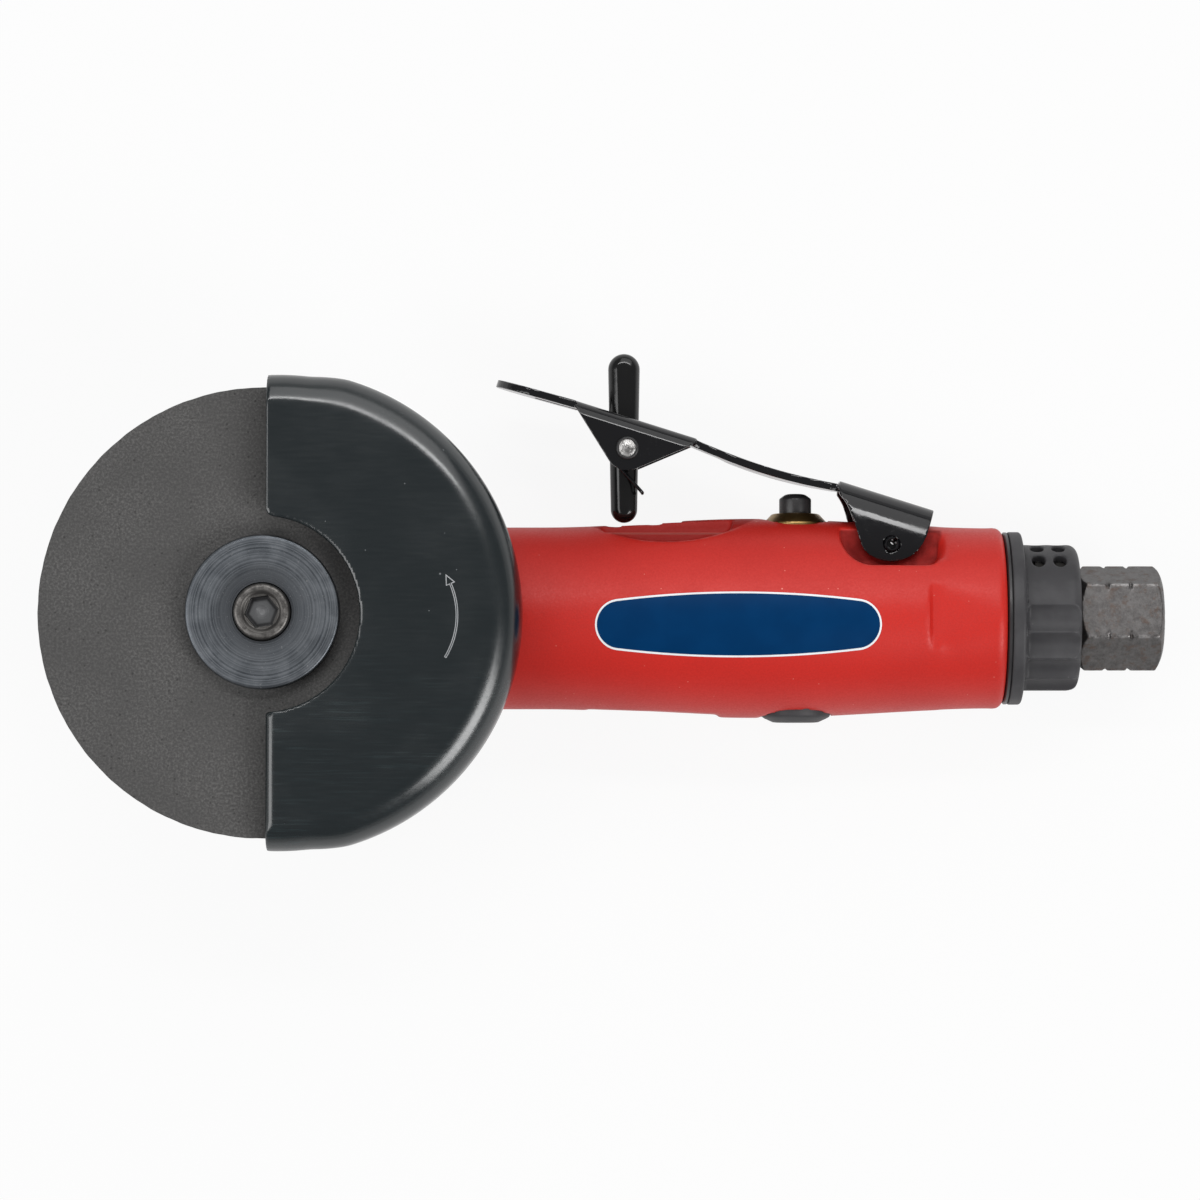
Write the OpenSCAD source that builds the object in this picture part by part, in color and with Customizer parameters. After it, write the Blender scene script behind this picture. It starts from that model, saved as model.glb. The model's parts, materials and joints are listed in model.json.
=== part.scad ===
// Pneumatic cut off tool: a right angle head with a guarded cutting disc, a vane motor in a round
// composite housing, a throttle lever with a lock-off tab, and a rear exhaust with its air inlet.
// The tool lies on its back. X runs along the motor from the spindle to the inlet, Y points to the
// lever and Z points out of the disc's face. The origin is on the spindle's axis, on the bench.

/* [Cutting disc] */
// Diameter of the cutting disc
disc_d = 76.2; // [66:0.2:84]
// Thickness of the cutting disc
disc_t = 1.6; // [1:0.1:3]
// Bore of the cutting disc
disc_bore_d = 9.5; // [9:0.1:9.8]
// Diameter of both clamping flanges
flange_d = 26; // [23:0.5:30]
// Thickness of the inner flange's plate
inner_flange_t = 3; // [2:0.1:5]
// Thickness of the outer flange
outer_flange_t = 3.5; // [3:0.1:5]
// Thread diameter of the disc screw
screw_d = 6; // [5:0.1:6.4]
// Head diameter of the disc screw
screw_head_d = 9.6; // [8.6:0.1:11]
// Head height of the disc screw
screw_head_h = 3.4; // [3:0.1:5]
// Width across flats of the screw's hexagon socket
screw_hex = 5; // [4:0.1:5.4]
// Length of the disc screw under its head
screw_l = 11; // [8:0.5:13]
// Depth that the screw's head is sunk into the outer flange
screw_sink = 2; // [1:0.1:2.4]

/* [Guard] */
// Sheet thickness of the guard
guard_t = 2; // [1.5:0.1:2.6]
// Gap from the disc's edge to the guard's rim, at the open edge
guard_rim_gap = 0.9; // [0.8:0.1:3]
// Offset of the guard's round outline from the spindle towards the motor
guard_shift = 2.6; // [0.5:0.1:4]
// Gap from the disc's face to the guard's front plate
guard_front_gap = 3.2; // [2:0.1:5]
// Outer radius of the pressed front edge
guard_edge_r = 4.5; // [3:0.1:5]
// Radius of the window round the outer flange
guard_window_r = 16.7; // [16:0.1:20]
// Place of the guard's open edge, in front of the spindle's axis
guard_cut_x = 0.7; // [0:0.1:2]
// Gap from the guard's back plate to the housing's nose
guard_nose_gap = 1.2; // [0.6:0.1:2]
// Thickness of the ring that locks the guard
lock_ring_t = 2; // [1.5:0.1:3]
// Radial width of the ring that locks the guard
lock_ring_w = 2.8; // [2:0.1:3.5]

/* [Angle head] */
// Radius of the head round the spindle
head_r = 14.5; // [13.8:0.1:16]
// Radius of the head's neck round the pinion
neck_r = 13.5; // [12.6:0.1:15]
// Radius of the head's rounded back edge
head_edge_r = 3; // [1:0.1:4]
// Radius of the flange that meets the housing
head_flange_r = 15.4; // [14.5:0.1:16]
// Thickness of that flange
head_flange_t = 3; // [2:0.1:5]
// Length of the spigot that enters the housing
spigot_l = 8; // [6:0.5:10]
// Least thread length of the bearing retainer
retainer_thread_l = 1.6; // [1.2:0.1:3]
// Radius of the retainer's collar, on which the guard turns
collar_r = 10; // [9:0.1:10.4]

/* [Bevel gears] */
// Pitch diameter of the gear on the spindle, at the large ends of its teeth
gear_pitch_d = 16; // [14.6:0.2:16.8]
// Teeth of the gear on the spindle
gear_teeth = 16; // [15:1:17]
// Teeth of the pinion on the rotor
pinion_teeth = 13; // [12:1:13]
// Face width of both gears along the cone
gear_face = 4.5; // [3:0.1:4.6]
// Thickness of the gear's web behind its teeth
gear_web = 1.9; // [1.5:0.1:3]
// Height of the gear's boss that meets the bearing
gear_boss_h = 0.8; // [0.5:0.1:1.5]
// Play between the flanks at the large end, both sides together
flank_gap = 0.2; // [0.1:0.02:0.3]

/* [Bearings] */
// Bore of the spindle's front bearing
front_brg_bore = 10; // [9.8:0.1:11]
// Outer diameter of the spindle's front bearing
front_brg_od = 22; // [21.5:0.1:24]
// Width of the spindle's front bearing
front_brg_w = 6; // [5:0.1:7]
// Bore of the spindle's rear bearing
rear_brg_bore = 6; // [5:0.1:6.4]
// Outer diameter of the spindle's rear bearing
rear_brg_od = 13; // [12:0.1:16]
// Width of the spindle's rear bearing
rear_brg_w = 5; // [4:0.1:6]
// Bore of the pinion's bearing
pinion_brg_bore = 8; // [7:0.1:8.6]
// Outer diameter of the pinion's bearing
pinion_brg_od = 19; // [17.5:0.1:19.6]
// Width of the pinion's bearing
pinion_brg_w = 6; // [5:0.1:7]
// Bore of the rotor's front bearing
rotor_front_bore = 6; // [5.6:0.1:7]
// Outer diameter of the rotor's front bearing
rotor_front_od = 15; // [14:0.1:17]
// Width of the rotor's front bearing
rotor_front_w = 5; // [4:0.1:5.2]
// Bore of the rotor's rear bearing
rotor_rear_bore = 5; // [4:0.1:6]
// Outer diameter of the rotor's rear bearing
rotor_rear_od = 13; // [12:0.1:16]
// Width of the rotor's rear bearing
rotor_rear_w = 4; // [3:0.1:5]

/* [Vane motor] */
// Outer diameter of the motor's cylinder and end plates
liner_d = 24.9; // [24.2:0.1:25.6]
// Length of the motor's cylinder
liner_l = 24; // [18:0.5:26]
// Mean wall of the motor's cylinder
liner_wall = 1.85; // [1.5:0.05:2.4]
// Offset of the cylinder's bore from the rotor's axis
eccentricity = 0.9; // [0.5:0.1:1.2]
// Least gap from the rotor to the cylinder's bore
rotor_gap = 0.12; // [0.08:0.02:0.3]
// Number of vanes
vane_count = 5; // [3:1:6]
// Thickness of a vane
vane_t = 1.5; // [1:0.1:2]
// Height of a vane
vane_h = 5; // [3:0.1:5.4]
// Thickness of each end plate
end_plate_t = 6.5; // [6:0.1:8]
// Thickness of the gasket behind the motor
gasket_t = 0.8; // [0.5:0.1:1.5]

/* [Housing] */
// Place of the housing's front face
nose_x = 36; // [33:0.5:38]
// Radius of the housing's nose
nose_r = 15.8; // [15.4:0.1:16.4]
// Length of the nose that stays straight
nose_l = 11; // [6:0.5:16]
// Place of the housing's widest girth
belly_x = 83; // [75:0.5:90]
// Radius at the widest girth, which is also the height of the motor's axis over the bench
belly_r = 17.3; // [17:0.1:18]
// Place of the housing's rear face
tail_x = 126.5; // [124:0.5:130]
// Radius at the rear face
tail_r = 15.7; // [15.4:0.1:16.4]
// Radius of the rounded rear edge
tail_edge_r = 1.5; // [0.5:0.1:2.5]
// Radius of the scoop that clears each front ear of the lever
scoop_r = 30; // [26:0.5:36]
// Place of the middle of the scoops
scoop_x = 68.3; // [66:0.1:70]
// Height of the scoops' floor over the motor's axis
scoop_y = 12.8; // [12.4:0.1:14]
// Length of the wrench flats beside the rear face
flat_l = 12; // [8:0.5:13]
// Half the width across the wrench flats
flat_half = 14.6; // [14.2:0.1:15]

/* [Throttle valve] */
// Place of the valve along the housing
valve_x = 90.7; // [89.5:0.1:92]
// Diameter of the valve's stem
stem_d = 5.4; // [4.6:0.1:6]
// Height of the stem's top over the motor's axis
stem_top_y = 21.6; // [20.6:0.1:21.8]
// Travel of the stem
stem_travel = 2.4; // [2.3:0.1:3]
// Diameter of the valve's bush
bush_d = 11.3; // [10:0.1:12]
// Height of the bush's cone over the housing
bush_cone_h = 0.9; // [0.5:0.1:1.5]
// Diameter of the bore that the valve works in
valve_bore_d = 9; // [8.4:0.1:9.6]
// Wire diameter of the valve's spring
valve_wire_d = 0.6; // [0.4:0.05:0.8]
// Diameter of the regulator's dial
dial_d = 12; // [11:0.1:12.6]
// Height that the dial stands out of the housing
dial_proud = 0.9; // [0.4:0.1:1.2]

/* [Throttle lever] */
// Place of the lever's pivot along the housing
pivot_x = 107; // [106:0.1:108]
// Height of the lever's pivot over the motor's axis
pivot_y = 12.5; // [12:0.1:13]
// Diameter of the lever's pivot pin
pivot_d = 2.8; // [2:0.1:3.2]
// Angle at which the lever rises to its tip
lever_slope = 17.5; // [16:0.1:19]
// Angle that the lever travels
lever_travel = 12; // [8:0.5:12]
// Length from the pivot to the lever's tip
lever_reach = 73.5; // [70:0.5:78]
// Width of the lever
lever_w = 17; // [16:0.1:18.5]
// Sheet thickness of the lever
lever_t = 1.3; // [1:0.1:1.6]
// Outer radius of the lever's bends
bend_r = 2.4; // [2:0.1:3]
// Height of the front plate over the line through the pivot
front_v = 7.3; // [7:0.1:8]
// Height of the rear plate over the line through the pivot
rear_v = 7.8; // [7.4:0.1:8.6]
// Depth of the dip in the lever's neck
neck_dip = 1.2; // [0.4:0.1:1.6]
// Drop of the lever's tip below the front plate
tip_drop = 0.5; // [0:0.1:1]

/* [Lock-off] */
// Length from the pivot to the lock-off's pin, along the lever
lock_pin_u = 48.4; // [46:0.1:50]
// Height of the lock-off's pin over the line through the pivot
lock_pin_v = 2.1; // [1.6:0.1:2.6]
// Diameter of the lock-off's pin
lock_pin_d = 2.6; // [2:0.1:3]
// Length of the tab over its pin
tab_up = 17; // [14:0.5:19]
// Width of the tab at its top
tab_top_w = 5.2; // [4.6:0.1:6]
// Width of the tab at its lower end
tab_low_w = 4.4; // [4:0.1:5]
// Thickness of the tab
tab_t = 4.5; // [3:0.1:5]
// Angle that the tab swings on the lever
tab_swing = 60; // [45:1:66]
// Wire diameter of the tab's spring
lock_wire_d = 0.6; // [0.4:0.05:0.7]

/* [Rear end] */
// Radius of the deflector's flange
deflector_flange_r = 15; // [14:0.1:15.6]
// Thickness of the deflector's flange
deflector_flange_t = 3.1; // [2.4:0.1:4]
// Radius of the deflector's barrel
deflector_r = 12.75; // [12:0.05:13.6]
// Length of the deflector's barrel behind its flange
deflector_l = 10.2; // [9:0.1:14]
// Wall of the deflector
deflector_wall = 1.5; // [1.2:0.1:2]
// Diameter of an exhaust hole
vent_d = 2.3; // [1.5:0.1:2.8]
// Width across flats of the inlet's hexagon
inlet_hex = 16; // [15:0.1:19]
// Length of the inlet's hexagon
inlet_hex_l = 15.2; // [13:0.1:20]
// Diameter of the inlet's shank
inlet_shank_d = 13; // [12.4:0.1:13.6]
// Length of the shank inside the housing
inlet_shank_l = 14.5; // [12:0.5:15]
// Bore of the inlet's thread
inlet_bore_d = 11.4; // [10:0.1:11.6]
// Depth of the inlet's thread
inlet_bore_l = 14; // [10:0.5:15]

/* [Fits] */
// Radial gap of pieces that are pressed or screwed together
fit_gap = 0.03; // [0.02:0.01:0.06]
// Radial gap of pieces that turn or slide on each other
run_gap = 0.06; // [0.05:0.01:0.1]
// Gap beside pieces that swing past each other
side_gap = 0.35; // [0.3:0.05:0.5]

/* [Hidden] */
$fn = 64;
over = 1;
edge_c = 0.4;
red = [0.72, 0.12, 0.11];
black = [0.05, 0.05, 0.06];
gunmetal = [0.16, 0.18, 0.2];
steel = [0.62, 0.63, 0.65];
alloy = [0.68, 0.69, 0.7];
brass = [0.76, 0.6, 0.3];
rubber = [0.09, 0.09, 0.09];
plastic = [0.22, 0.22, 0.23];

// Gear cones: both apexes lie where the spindle's and the motor's axes cross
pressure_angle = 22.5;
addendum_share = 0.9;
dedendum_share = 1.15;
flank_steps = 4;
gear_cone = atan(gear_teeth / pinion_teeth);
pinion_cone = 90 - gear_cone;
gear_module = gear_pitch_d / gear_teeth;
gear_pitch_r = gear_pitch_d / 2;
pinion_pitch_r = gear_module * pinion_teeth / 2;
cone_dist = gear_pitch_r / sin(gear_cone);
gear_tip_r = pinion_pitch_r * tan(gear_cone + atan(addendum_share * gear_module / cone_dist));
pinion_tip_r = gear_pitch_r * tan(pinion_cone + atan(addendum_share * gear_module / cone_dist));
gear_root_r = pinion_pitch_r * tan(gear_cone - atan(dedendum_share * gear_module / cone_dist));
face_share = (cone_dist - gear_face) / cone_dist;
mesh_gap = 0.2;

// Levels along the spindle, from the motor's axis
axis_h = belly_r;
gear_back_z = pinion_pitch_r + gear_web + gear_boss_h;
front_brg_z = gear_back_z;
front_brg_end = front_brg_z + front_brg_w;
head_face_z = max(nose_r + guard_nose_gap, front_brg_end + retainer_thread_l);
guard_back_z = head_face_z;
lock_ring_z = guard_back_z + guard_t;
lock_ring_end = lock_ring_z + lock_ring_t;
inner_flange_z = lock_ring_end + side_gap;
disc_z = inner_flange_z + inner_flange_t;
disc_face_z = disc_z + disc_t;
outer_flange_end = disc_face_z + outer_flange_t;
screw_seat_z = outer_flange_end - screw_sink;
screw_end_z = screw_seat_z - screw_l;
guard_front_z = disc_face_z + guard_front_gap;
guard_face_z = guard_front_z + guard_t;
cavity_gap = 0.7;
cavity_r = gear_tip_r + cavity_gap;
rear_brg_end = -(pinion_tip_r + cavity_gap);
rear_brg_z = rear_brg_end - rear_brg_w;

// Pieces of the spindle
spindle_r = rear_brg_bore / 2;
spindle_seat_r = front_brg_bore / 2;
arbor_r = disc_bore_d / 2 - fit_gap;
arbor_short = 0.4;
screw_hole_spare = 1;
flange_hub_wall = 1.4;
flange_hub_r = arbor_r + flange_hub_wall;
flange_pad_share = 0.72;
flange_relief = 0.5;
washer_dish = 0.5;
washer_dish_share = 0.62;
key_w = 2;
key_h = 2;
key_l = 2.4;
socket_depth_share = 0.6;
dimple_share = 0.25;
head_chamfer = 0.5;

// Bearing proportions
ball_share = 0.27;
land_share = 0.55;
ball_room_share = 1.18;
ball_gap = 0.05;

// Places along the motor
spigot_end = nose_x + spigot_l;
liner_x = spigot_end + end_plate_t;
liner_end = liner_x + liner_l;
motor_end = liner_end + end_plate_t;
motor_bore_end = motor_end + gasket_t;
liner_r = liner_d / 2;
motor_bore_r = liner_r + fit_gap;
spigot_r = liner_r;
liner_bore_r = liner_r - liner_wall;
rotor_r = liner_bore_r - eccentricity - rotor_gap;
rotor_end_gap = 0.12;
rotor_shaft_play = 0.6;
pinion_hub_l = 3.6;
pinion_hub_wall = 1.6;
pinion_brg_x = gear_pitch_r + pinion_hub_l;
pinion_brg_end = pinion_brg_x + pinion_brg_w;
pinion_shank_r = pinion_brg_bore / 2;
pinion_socket_l = 8;
pinion_end_gap = 1.2;
pinion_end = spigot_end - pinion_end_gap;
coupling_r = rotor_front_bore / 2 - rotor_shaft_play;
clip_t = 1;
clip_bite = 0.7;
clip_w = 2;
neck_bore_r = pinion_brg_od / 2 + fit_gap;
dowel_d = 1.6;
dowel_l = 6;
dowel_in = 1.5;
port_d = 2.2;
port_count = 4;

// Exhaust passages, low on both sides of the motor
exhaust_d = 3.6;
exhaust_pitch_r = 11.5;
exhaust_angle = 35;

// Valve levels over the motor's axis
seat_y = 6;
seat_t = 1.5;
chamber_spare = 0.6;
chamber_h = stem_travel + chamber_spare;
chamber_side = 0.6;
stem_dome_h = 0.8;
stem_top_share = 0.55;
stem_waist_share = 0.5;
valve_head_t = 2;
valve_head_gap = 0.4;
valve_head_side = 0.5;
bush_top_share = 0.72;
bush_edge_sink = 1;
feed_d = 3.6;
feed_y = seat_y + seat_t + chamber_h / 2;
inlet_passage_d = 8.4;
dial_top_y = -9;
dial_slot_w = 1.4;
dial_slot_d = 1.2;
dial_waist_share = 0.84;
dial_waist_h = 1.2;
dial_waist_y = -12.4;
dial_seal_y = -10.6;
valve_spring_turns = 6.5;
valve_spring_r = valve_bore_d / 2 - valve_wire_d * 2;
seal_d = 1.4;
seal_gap = 0.05;

// Lever places, forward from the pivot along the lever
ear_gap = 0.35;
ridge_half = lever_w / 2 - lever_t - ear_gap;
ear_front_reach = 10.2;
ear_rear_reach = 9.4;
ear_r = 3.4;
neck_end_u = -7;
neck_lap = 1;
neck_steps = 10;
ear_front_u = -lock_pin_u - ear_front_reach;
ear_rear_u = -lock_pin_u + ear_rear_reach;
neck_start_u = ear_rear_u - neck_lap;
rear_round_r = 3.8;
rear_round_u = 1.6;
rear_round_v = 1.6;
rear_top_u = -9.5;
rear_low_u = -4.4;
rear_low_v = -1.7;
rear_low_c = 0.5;
lever_end_u = rear_round_u + rear_round_r;
neck_half = lever_w / 2 - bend_r;
tip_r_share = 0.42;
pin_head_h = 0.4;
pin_bore_share = 0.55;
pocket_front = 7.6;
pocket_rear = 8.4;
pocket_front_r = 5.5;
pocket_rear_r = 2.5;
pocket_floor_gap = 1.6;
pocket_floor_y = pivot_y - (rear_round_r - rear_round_v * cos(lever_slope)) - pocket_floor_gap;

// Lock-off places
tab_top_r = tab_top_w / 2;
tab_low_r = tab_low_w / 2;
tab_rest_gap = 0.3;
tab_notch_steps = 8;
tab_boss_wall = 1;
lock_rivet_r = 1.8;
lock_coil_r = lock_pin_d / 2 + tab_boss_wall + run_gap + lock_wire_d / 2 + tab_rest_gap;
lock_coil_pitch = 1.05;
lock_full_turns = 3;
lock_leg_angle = -48;
lock_hook_l = 2;

// Rear end places
inlet_gap = 0.3;
deflector_gap = 0.1;
deflector_x = tail_x + deflector_gap;
deflector_barrel_x = deflector_x + deflector_flange_t;
deflector_end = deflector_barrel_x + deflector_l;
deflector_edge_r = 2.4;
deflector_flange_c = 1.2;
deflector_back_wall = 1.6;
deflector_mouth_r = 13.4;
deflector_mouth_l = 1.5;
vent_columns = 2;
vent_rows = 5;
vent_pitch = 3.75;
vent_first = 3.3;
vent_step = 20;
flute_r = 5;
flute_depth = 0.55;
flute_count = 9;
flute_step = 22;
flute_start_gap = 0.8;
felt_gap = 0.3;
felt_wall = 2;
felt_l = 6.4;
inlet_hex_x = deflector_end + inlet_gap;
inlet_end = inlet_hex_x + inlet_hex_l;
inlet_shank_x = tail_x - inlet_shank_l;
inlet_neck_d = 8;
inlet_seal_in = 3;
inlet_chamfer = 1;
inlet_groove_w = 1.1;
inlet_groove_shares = [0.31, 0.58];
inlet_groove_lift = 0.25;
inlet_turn = 22.3;
screen_t = 0.8;
screen_hole_d = 1.4;
screen_pitch = 2.2;
screen_rings = 2;

// Outline functions
function ease(s) = (1 - cos(180 * s)) / 2;
function girth(x) =
    x <= nose_x + nose_l ? nose_r
    : x <= belly_x ? nose_r + (belly_r - nose_r) * ease((x - nose_x - nose_l) / (belly_x - nose_x - nose_l))
    : belly_r + (tail_r - belly_r) * ease((x - belly_x) / (tail_x - belly_x));
function arc(center, r, from, to, steps) =
    [for (i = [0 : steps]) let (a = from + (to - from) * i / steps) center + r * [cos(a), sin(a)]];
function turned(p, a) = [p.x * cos(a) - p.y * sin(a), p.x * sin(a) + p.y * cos(a)];
function on_lever(uv) = [pivot_x, pivot_y] + turned(uv, -lever_slope);
function tangent(center, r, p, side) =
    let (d = p - center, a = atan2(d.y, d.x) + side * acos(r / norm(d))) center + r * [cos(a), sin(a)];

lock_pin_at = on_lever([-lock_pin_u, lock_pin_v]);
lock_pin_arm = lock_pin_at - [pivot_x, pivot_y];
tab_low = lock_pin_at.y - girth(lock_pin_at.x) - tab_rest_gap;

// Round bars, rings and turned shapes along each axis
module bar_x(r, from, to) {
    translate([from, 0, 0]) rotate([0, 90, 0]) cylinder(r = r, h = to - from);
}

module bar_y(r, from, to) {
    translate([0, from, 0]) rotate([-90, 0, 0]) cylinder(r = r, h = to - from);
}

module bar_z(r, from, to) {
    translate([0, 0, from]) cylinder(r = r, h = to - from);
}

module ring_z(inner, outer, from, to) {
    difference() {
        bar_z(outer, from, to);
        bar_z(inner, from - over, to + over);
    }
}

module turn_x(points) {
    rotate([0, 90, 0]) rotate_extrude() polygon(points);
}

module turn_y(points) {
    rotate([-90, 0, 0]) rotate_extrude() polygon(points);
}

module donut(r, wire_r) {
    rotate_extrude() translate([r, 0]) circle(r = wire_r);
}

// A seal that lies in a round groove on a shank of radius r
module seal_ring(r) {
    donut(r - seal_d / 4, seal_d / 4 - seal_gap);
}

module along_x() {
    rotate([0, 90, 0]) children();
}

// Lifts a piece from the motor's axis to its height over the bench
module lifted() {
    translate([0, 0, axis_h]) children();
}

// Ball bearings, standing on z = 0 round the Z axis
function ball_r(bore, od) = (od - bore) / 2 * ball_share;
function pitch_r(bore, od) = (od + bore) / 4;

module outer_race(bore, od, w) {
    difference() {
        ring_z(pitch_r(bore, od) + ball_r(bore, od) * land_share, od / 2, 0, w);
        translate([0, 0, w / 2]) donut(pitch_r(bore, od), ball_r(bore, od) + ball_gap);
    }
}

module inner_race(bore, od, w) {
    difference() {
        ring_z(bore / 2 + fit_gap, pitch_r(bore, od) - ball_r(bore, od) * land_share, 0, w);
        translate([0, 0, w / 2]) donut(pitch_r(bore, od), ball_r(bore, od) + ball_gap);
    }
}

module balls(bore, od, w) {
    count = floor(180 / asin(ball_r(bore, od) * ball_room_share / pitch_r(bore, od)));
    for (i = [0 : count - 1])
        rotate(i * 360 / count)
            translate([pitch_r(bore, od), 0, w / 2])
                sphere(r = ball_r(bore, od));
}

// Bevel teeth on spherical involute flanks, tapering to the apex at the origin
function flank_turn(theta, base) =
    theta <= base ? 0 : acos(cos(theta) / cos(base)) / sin(base) - acos(tan(base) / tan(theta));

module bevel_teeth(teeth, cone, phase) {
    plane = cone_dist * cos(cone);
    base = asin(sin(cone) * cos(pressure_angle));
    tip = cone + atan(addendum_share * gear_module / cone_dist);
    root = cone - atan(dedendum_share * gear_module / cone_dist);
    half = 90 / teeth - flank_gap / 4 / (cone_dist * sin(cone)) * 180 / PI + flank_turn(cone, base);
    flank = [for (i = [0 : flank_steps]) root + (tip - root) * i / flank_steps];
    outline = [
        for (tooth = [0 : teeth - 1], side = [-1, 1], i = [0 : flank_steps])
            let (
                theta = flank[side < 0 ? i : flank_steps - i],
                a = phase + tooth * 360 / teeth + side * (half - flank_turn(theta, base))
            )
            plane * tan(theta) * [cos(a), sin(a)]
    ];
    translate([0, 0, plane])
        mirror([0, 0, 1])
            linear_extrude(height = plane * (1 - face_share), scale = face_share)
                polygon(outline);
}

// One unbroken wire swept along points
function unit(v) = v / norm(v);
function path_dir(path, i) = unit(path[min(i + 1, len(path) - 1)] - path[max(i - 1, 0)]);
wire_ref = unit([0.35, 0.25, 0.9]);
wire_sides = 6;

module wire(path, r) {
    count = len(path);
    rings = [
        for (i = [0 : count - 1], s = [0 : wire_sides - 1])
            let (
                t = path_dir(path, i),
                n = unit(cross(wire_ref, t)),
                b = cross(t, n),
                a = s * 360 / wire_sides
            )
            path[i] + r * (cos(a) * n + sin(a) * b)
    ];
    last = (count - 1) * wire_sides;
    sides = [
        for (i = [0 : count - 2], s = [0 : wire_sides - 1], half = [0, 1])
            let (
                n = (s + 1) % wire_sides,
                low = i * wire_sides,
                high = low + wire_sides
            )
            half == 0 ? [low + s, high + s, high + n] : [low + s, high + n, low + n]
    ];
    ends = [for (s = [1 : wire_sides - 2]) [0, s, s + 1]];
    far_ends = [for (s = [1 : wire_sides - 2]) [last, last + s + 1, last + s]];
    polyhedron(rings, concat(sides, ends, far_ends), convexity = 8);
}

// Least distance between two stretches of a wire that lie over half a turn apart
function wire_gap(path, skip, d) =
    let (last = len(path) - 1)
    min([for (i = [0 : last], j = [0 : last]) if (j - i >= skip) norm(path[j] - path[i])]) - d;

curl_rings = 8;

// Housing: a barrel with scoops and pockets for the lever, bored for the motor, valve and inlet
girth_steps = 9;
nose_points = [[0, nose_x], [nose_r - edge_c, nose_x], [nose_r, nose_x + edge_c]];
rise_points = [
    for (i = [0 : girth_steps])
        let (x = nose_x + nose_l + (belly_x - nose_x - nose_l) * i / girth_steps) [girth(x), x]
];
tail_start = tail_x - tail_edge_r;
fall_points = [
    for (i = [1 : girth_steps])
        let (x = belly_x + (tail_start - belly_x) * i / girth_steps) [girth(x), x]
];
tail_points = concat(
    arc([girth(tail_start) - tail_edge_r, tail_start], tail_edge_r, 0, 90, 5),
    [[0, tail_x]]
);

module rounded_pocket(x0, x1, y0, y1, r0, r1) {
    translate([x0, y0 + r0]) square([x1 - x0, y1 - y0 - r0]);
    translate([x0 + r0, y0]) square([x1 - x0 - r0 - r1, y1 - y0]);
    translate([x1 - r1, y0 + r1]) square([r1, y1 - y0 - r1]);
    translate([x0 + r0, y0 + r0]) circle(r = r0);
    translate([x1 - r1, y0 + r1]) circle(r = r1);
}

module ear_pockets() {
    for (side = [0, 1]) mirror([0, 0, side]) translate([0, 0, ridge_half]) {
        translate([scoop_x, scoop_y + scoop_r, 0]) cylinder(r = scoop_r, h = belly_r);
        linear_extrude(height = belly_r)
            rounded_pocket(
                pivot_x - pocket_front, pivot_x + pocket_rear, pocket_floor_y, belly_r + over,
                pocket_front_r, pocket_rear_r
            );
    }
}

// The notch in the ridge follows the lock-off tab's lower end through its whole swing
module tab_notch() {
    reach = tab_low - tab_low_r;
    r = tab_low_r + side_gap;
    translate([0, 0, -tab_t / 2 - side_gap])
        linear_extrude(height = tab_t + 2 * side_gap)
            for (i = [1 : tab_notch_steps])
                translate([pivot_x, pivot_y] + turned(lock_pin_arm, lever_travel * i / tab_notch_steps))
                    rotate((lever_travel + tab_swing) * i / tab_notch_steps) {
                        translate([-r, -reach]) square([2 * r, reach]);
                        translate([0, -reach]) circle(r = r);
                    }
}

module wrench_flats() {
    slope = belly_r - flat_half;
    for (side = [0, 1]) mirror([0, 0, side])
        translate([0, belly_r, 0])
            rotate([90, 0, 0])
                linear_extrude(height = 2 * belly_r)
                    polygon([
                        [tail_x - flat_l - slope, belly_r],
                        [tail_x - flat_l, flat_half],
                        [tail_x + over, flat_half],
                        [tail_x + over, belly_r]
                    ]);
}

module exhaust_passages() {
    for (side = [0, 1]) mirror([0, 0, side])
        rotate([exhaust_angle, 0, 0])
            translate([0, 0, exhaust_pitch_r])
                bar_x(exhaust_d / 2, liner_x, tail_x + over);
}

module motor_housing() {
    color(red) lifted() difference() {
        turn_x(concat(nose_points, rise_points, fall_points, tail_points));
        bar_x(motor_bore_r, nose_x - over, motor_bore_end);
        exhaust_passages();
        ear_pockets();
        tab_notch();
        wrench_flats();
        translate([valve_x, 0, 0]) {
            bar_y(valve_bore_d / 2, dial_top_y - over, seat_y + over);
            bar_y(bush_d / 2 + fit_gap, seat_y, belly_r + over);
            bar_y(dial_d / 2 + run_gap, -belly_r - over, dial_top_y);
            translate([0, dial_waist_y, 0])
                bar_y(dial_d / 2 + clip_bite, 0, dial_waist_h);
        }
        translate([0, feed_y, 0]) bar_x(feed_d / 2, motor_bore_end - over, valve_x);
        bar_x(inlet_passage_d / 2, valve_x, inlet_shank_x);
        bar_x(inlet_shank_d / 2 + fit_gap, inlet_shank_x - screen_t, tail_x + over);
        translate([pivot_x, pivot_y, 0]) bar_z(pivot_d / 2 + fit_gap, -belly_r, belly_r);
        translate([0, liner_r, 0]) bar_x(dowel_d / 2 + fit_gap, liner_x - dowel_in, liner_x + dowel_l);
    }
}

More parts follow.
